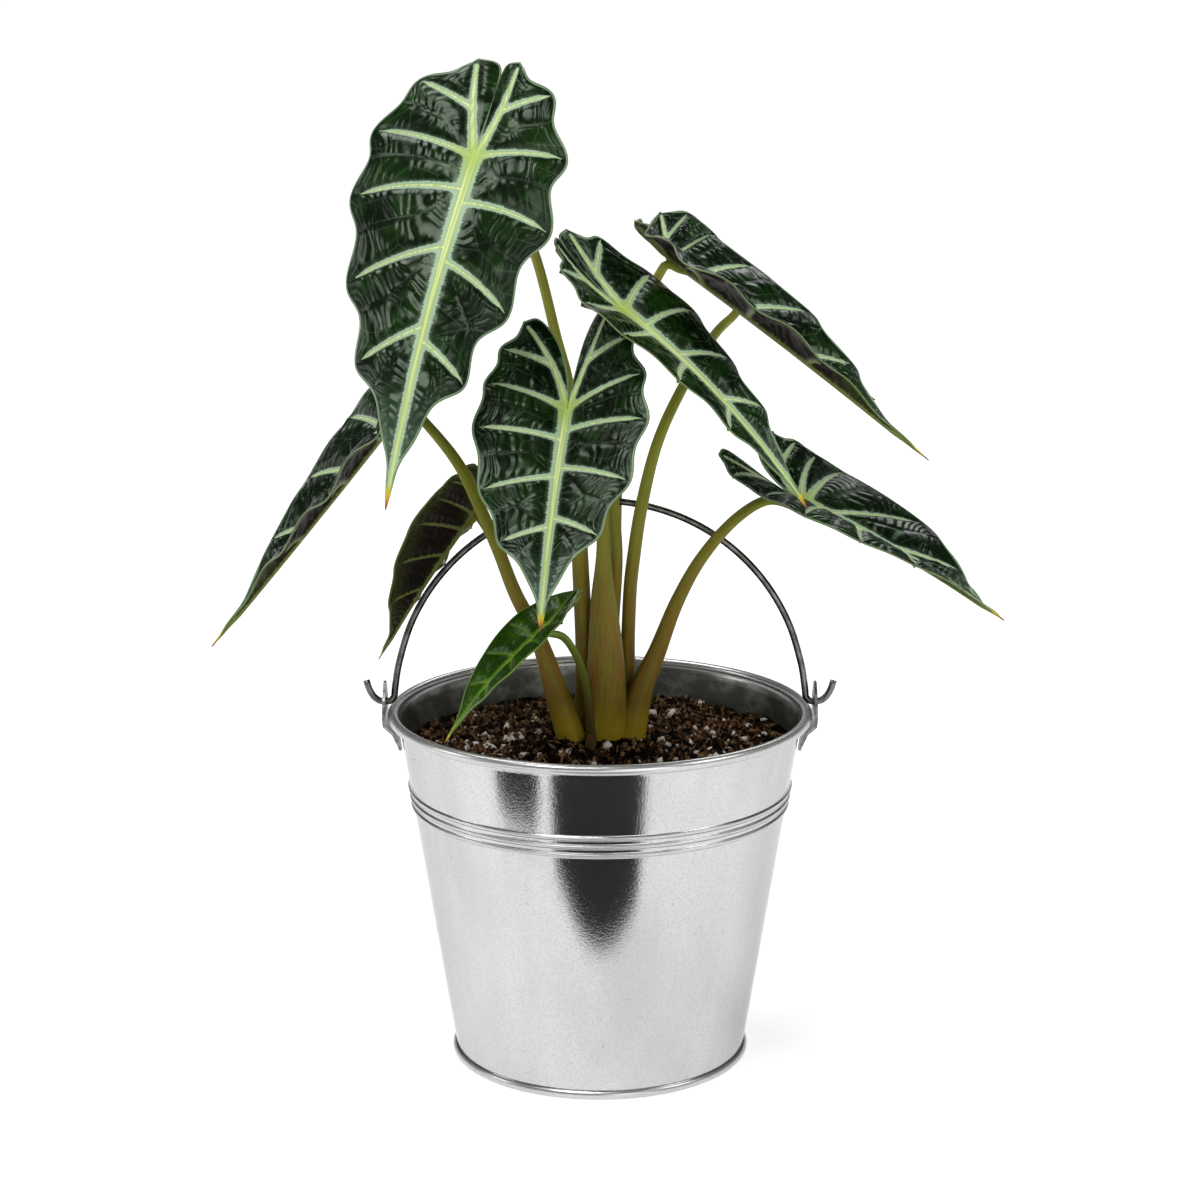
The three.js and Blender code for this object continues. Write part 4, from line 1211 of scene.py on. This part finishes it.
def scatter_bed(name, count, weight):
    """A bare copy of the soil's surface that carries how many grains lie on each part."""
    step = 2.0
    clear_of_wall = 2.2
    reach = wall_radius(SOIL_LEVEL) - clear_of_wall
    ticks = np.arange(-reach, reach + step, step)
    x, y = np.meshgrid(ticks, ticks, indexing="ij")
    points, quads = one_grid(np.stack([x, y, soil_height(x, y)], -1))
    middle = points[quads].mean(1)
    quads = quads[np.hypot(middle[:, 0], middle[:, 1]) < reach]
    wanted = weight(points[:, 0], points[:, 1])
    total = wanted[quads].mean() * len(quads) * step * step * MM * MM
    mesh = bpy.data.meshes.new(name)
    mesh.from_pydata((points * MM).tolist(), [], quads.tolist())
    layer = mesh.attributes.new("density", "FLOAT", "POINT")
    layer.data.foreach_set("value", (wanted * count / total).astype(np.float32))
    return in_scene(name, mesh)


def strew(name, material, count, weight, **inputs):
    """Strews grains on the soil with Geometry Nodes and keeps them as a plain mesh."""
    bed = scatter_bed(f"{name}_bed", count, weight)
    modifier = bed.modifiers.new(name, "NODES")
    modifier.node_group = scatter_tree(name, material)
    for item in modifier.node_group.interface.items_tree:
        if item.in_out == "INPUT" and item.name.lower() in inputs:
            modifier[item.identifier] = inputs[item.name.lower()]
    depsgraph = bpy.context.evaluated_depsgraph_get()
    mesh = bpy.data.meshes.new_from_object(bed.evaluated_get(depsgraph))
    bed.modifiers.remove(modifier)
    bpy.data.objects.remove(bed)
    mesh.name = name
    return adopt(mesh, name)


def patch(x, y, middle, reach):
    """1 at a place on the soil, falling to 0 round it."""
    return np.exp(-((x - middle[0]) / reach[0]) ** 2 - ((y - middle[1]) / reach[1]) ** 2)


def crumb_weight(x, y):
    """Crumbs and fibres lie everywhere, but thinly in front of the stems."""
    return 1 - 0.65 * patch(x, y, (2, -34), (16, 14))


def perlite_weight(x, y):
    """Perlite lies mostly to the left and the right."""
    left = patch(x, y, (-34, -12), (20, 26))
    right = patch(x, y, (34, -8), (16, 24))
    return 0.18 + 1.3 * left + 0.9 * right - 0.1 * patch(x, y, (0, 0), (14, math.inf))


class ALOCASIA_OT_leaves(bpy.types.Operator):
    """Build the nine blades"""
    bl_idname = "alocasia.leaves"
    bl_label = "Leaf blades"

    def execute(self, context):
        settings = context.scene.alocasia_leaf
        grown, fresh = ([upper_face(settings, young), lower_face(settings, young)]
                        for young in (False, True))
        for name, leaf in LEAVES.items():
            build_blade(name, leaf, settings, fresh if name == YOUNG else grown)
        return {"FINISHED"}


class ALOCASIA_OT_petioles(bpy.types.Operator):
    """Build the petioles with their sheaths and the withered stub"""
    bl_idname = "alocasia.petioles"
    bl_label = "Petioles"

    def execute(self, context):
        grown = stalk_finish(context.scene.alocasia_stalk)
        fresh = young_stalk_finish()
        for seed, (name, points) in enumerate(PETIOLES.items()):
            young = name == YOUNG
            build_stalk(
                f"stalk_{name}", petiole_path(points, LEAVES[name]), sides=28, spacing=1.6,
                seed=seed, sheathed=not young, material=fresh if young else grown,
                replaced=f"petiole_{name}")
        withered = crumb_finish("withered_sheath", WITHERED_STOPS, 0.6, 300, 0.0003)
        build_stalk(
            "withered_stub", STUB, sides=20, spacing=0.6, seed=STUB_SEED, sheathed=False,
            material=withered, replaced="sheath_stub")
        refinish("rootstock", grown)
        return {"FINISHED"}


class ALOCASIA_OT_bucket(bpy.types.Operator):
    """Build the galvanised bucket with its foot ring and ears"""
    bl_idname = "alocasia.bucket"
    bl_label = "Bucket"

    def execute(self, context):
        zinc = zinc_finish(context.scene.alocasia_bucket)
        revolve("bucket_shell", wall_outline(), zinc, "bucket_wall")
        roll = FOOT_HEIGHT / 2
        ring = arc((FOOT_OUTER - roll, roll), roll, -90, 84, 20)
        seat = (wall_radius(WALL_FOOT) + 0.1, BASE_THICKNESS)
        base = [(0, BASE_THICKNESS), (0, 0), (30, 0), *ring, seat]
        revolve("foot_ring", base, zinc, "bucket_base")
        plate = metal_finish("ear_plate", (0.17, 0.17, 0.16), (0.42, 0.42, 0.40), scale=320,
                             detail=4, light_from=0.65, rough=(0.24, 0.2), depth=0.00012)
        for side in ("left", "right"):
            refinish(f"ear_{side}", plate)
        return {"FINISHED"}


class ALOCASIA_OT_bail(bpy.types.Operator):
    """Build the wire bail"""
    bl_idname = "alocasia.bail"
    bl_label = "Bail"

    def execute(self, context):
        turn = np.linspace(0, math.pi, 17)[1:-1]
        bow = np.stack([BOW_REACH * np.cos(turn), BOW_RISE * np.sin(turn)], 1)
        far_hook = np.array(HOOK)[::-1] * [-1, 1]
        line = np.vstack([HOOK, bow, far_hook])
        lean = math.radians(BAIL_LEAN)
        path = np.stack([
            line[:, 0], line[:, 1] * math.sin(lean), PIVOT_HEIGHT + line[:, 1] * math.cos(lean),
            np.full(len(line), WIRE_RADIUS)], 1)
        points, _, quads = tube(
            path, 20, 1.2, lambda turn, *_: np.ones_like(turn), across=(0.0, 1.0, 0.0))
        wire = metal_finish(
            "bail_wire", context.scene.alocasia_bucket.wire, (0.21, 0.21, 0.2), scale=260, detail=3,
            light_from=0.7, rough=(0.20, 0.16), depth=0.00006)
        new_piece("bail_wire", points, quads, [wire], body="bail", replaces=["bail"])
        return {"FINISHED"}


class ALOCASIA_OT_soil(bpy.types.Operator):
    """Fill the bucket with potting mix, crumbs, perlite and fibres"""
    bl_idname = "alocasia.soil"
    bl_label = "Potting mix"

    def execute(self, context):
        settings = context.scene.alocasia_soil
        turn = round_turn(SOIL_SIDES)
        edge = wall_radius(SOIL_LEVEL) - SOIL_GAP
        r, a = np.meshgrid(edge * np.linspace(0, 1, 70) ** 0.9, turn, indexing="ij")
        x, y = r * np.cos(a), r * np.sin(a)
        rows = [*np.stack([x, y, soil_height(x, y)], -1)]
        for z in (80, 40, SOIL_BOTTOM):
            rows.append(np.stack([wall_radius(z) * np.cos(turn) * 0.985,
                                  wall_radius(z) * np.sin(turn) * 0.985,
                                  np.full(len(turn), z)], -1))
        rows.append(np.repeat([[0.0, 0.0, SOIL_BOTTOM]], len(turn), 0))
        points, quads = one_grid(np.array(rows))
        new_piece("soil_bed", points, quads, [soil_finish(settings)],
                  replaces=["soil"])
        bark = crumb_finish("bark_crumb", BARK_STOPS, 0.62, 900, 0.0003)
        coir = crumb_finish("coir_fibre", COIR_STOPS, 0.6, 700, 0.0002)
        white = crumb_finish("perlite_grain", PERLITE_STOPS, 0.85, 1400, 0.0003)
        strew("bark_crumbs", bark, settings.crumbs, crumb_weight, seed=3,
              smallest=0.0007, largest=0.0026, shape=(1.3, 0.8, 0.5), dent=0.0020)
        strew("perlite_grains", white, settings.perlite, perlite_weight, seed=8,
              smallest=0.0008, largest=0.0038, shape=(1, 0.85, 0.7), dent=0.0022, rounded=True)
        strew("coir_fibres", coir, settings.fibres, crumb_weight, seed=15,
              smallest=0.0018, largest=0.0055, shape=(1.3, 0.10, 0.10), dent=0.0022)
        return {"FINISHED"}


def stage_sheet(name, outlines, material):
    """Flat faces that belong to the stage, from outlines in metres."""
    mesh = bpy.data.meshes.new(name)
    starts = np.cumsum([0] + [len(outline) for outline in outlines]).tolist()
    faces = [list(range(start, end)) for start, end in zip(starts, starts[1:])]
    mesh.from_pydata([point for outline in outlines for point in outline], [], faces)
    mesh.materials.append(material)
    sheet = in_scene(name, mesh)
    return sheet


class ALOCASIA_OT_stage(bpy.types.Operator):
    """Set up the floor, the lights and the camera"""
    bl_idname = "alocasia.stage"
    bl_label = "Stage"

    def execute(self, context):
        scene = context.scene
        settings = scene.alocasia_stage
        scene.view_settings.view_transform = "Standard"
        self.floor(settings)
        self.dark_card()
        sky = Finish("studio", "worlds", "Background")
        up = sky.parts(sky.place(0))[2]
        scene.world = sky.surface(color=sky.ramp(SKY_STOPS, up), strength=settings.sky)
        self.lights(settings)
        camera = in_scene("camera", bpy.data.cameras.new("camera"))
        camera.data.lens = LENS
        camera.data.sensor_width = SENSOR
        camera.data.clip_end = 60
        camera.location = CAMERA_AT
        camera.rotation_euler = (math.radians(CAMERA_TILT), 0, 0)
        scene.camera = camera
        return {"FINISHED"}

    @staticmethod
    def floor(settings):
        """A pale floor that is a little brighter further off."""
        finish = Finish("floor")
        x, y, _ = finish.parts(finish.place())
        reach = (x * x + y * y).maths("SQRT")
        glow = finish.mix(finish.smooth(reach, 0.25, 1.4), (0.55, 0.55, 0.55), (1.0, 1.0, 1.0))
        material = finish.surface(
            base_color=settings.floor, roughness=0.8, specular_ior_level=0.1,
            emission_color=glow, emission_strength=1.0)
        rim = [(FLOOR_RADIUS * math.cos(a), FLOOR_RADIUS * math.sin(a), 0)
               for a in np.linspace(0, FULL_TURN, 97)[:-1]]
        stage_sheet("floor", [rim], material)

    @staticmethod
    def dark_card():
        """A black card in front of the bucket that only shows as a reflection in its wall."""
        material = Finish("black_card").surface(base_color=(0.02, 0.02, 0.02), roughness=0.9)
        card = stage_sheet("dark_card", [
            [(x * MM, y * MM, CARD_HEIGHT * MM) for x, y in outline]
            for outline in (CARD_TONGUE, CARD_STRIP)], material)
        card.visible_camera = False
        card.visible_diffuse = False
        card.visible_shadow = False

    @staticmethod
    def lights(settings):
        """Large soft lights round the plant."""
        aim = Vector(LIGHT_AIM)
        for name, azimuth, elevation, size, share in LIGHTS:
            light = bpy.data.lights.new(name, "AREA")
            light.energy = settings.key * share * math.pi * size * size
            light.size = size
            lamp = in_scene(name, light)
            azimuth, elevation = math.radians(azimuth), math.radians(elevation)
            way = Vector((math.sin(azimuth) * math.cos(elevation),
                          -math.cos(azimuth) * math.cos(elevation), math.sin(elevation)))
            lamp.location = aim + way * LIGHT_DISTANCE
            lamp.rotation_euler = way.to_track_quat("Z", "Y").to_euler()


class ALOCASIA_PT_panel(bpy.types.Panel):
    """Builds the plant piece by piece"""
    bl_label = "Potted Alocasia"
    bl_space_type = "VIEW_3D"
    bl_region_type = "UI"
    bl_category = "Alocasia"

    def draw(self, context):
        for group in SETTINGS:
            box = self.layout.box()
            settings = getattr(context.scene, group)
            for key in settings.__annotations__:
                box.prop(settings, key)
        for operator in OPERATORS:
            self.layout.operator(operator.bl_idname)


OPERATORS = (
    ALOCASIA_OT_stage, ALOCASIA_OT_bucket, ALOCASIA_OT_bail, ALOCASIA_OT_soil,
    ALOCASIA_OT_petioles, ALOCASIA_OT_leaves)
CLASSES = (*SETTINGS.values(), *OPERATORS, ALOCASIA_PT_panel)


def register():
    for cls in CLASSES:
        bpy.utils.register_class(cls)
    for name, group in SETTINGS.items():
        setattr(bpy.types.Scene, name, PointerProperty(type=group))


def unregister():
    for name in SETTINGS:
        delattr(bpy.types.Scene, name)
    for cls in reversed(CLASSES):
        bpy.utils.unregister_class(cls)


def main():
    register()
    for name in ("stage", "bucket", "bail", "soil", "petioles", "leaves"):
        getattr(bpy.ops.alocasia, name)()


if __name__ == "__main__":
    main()
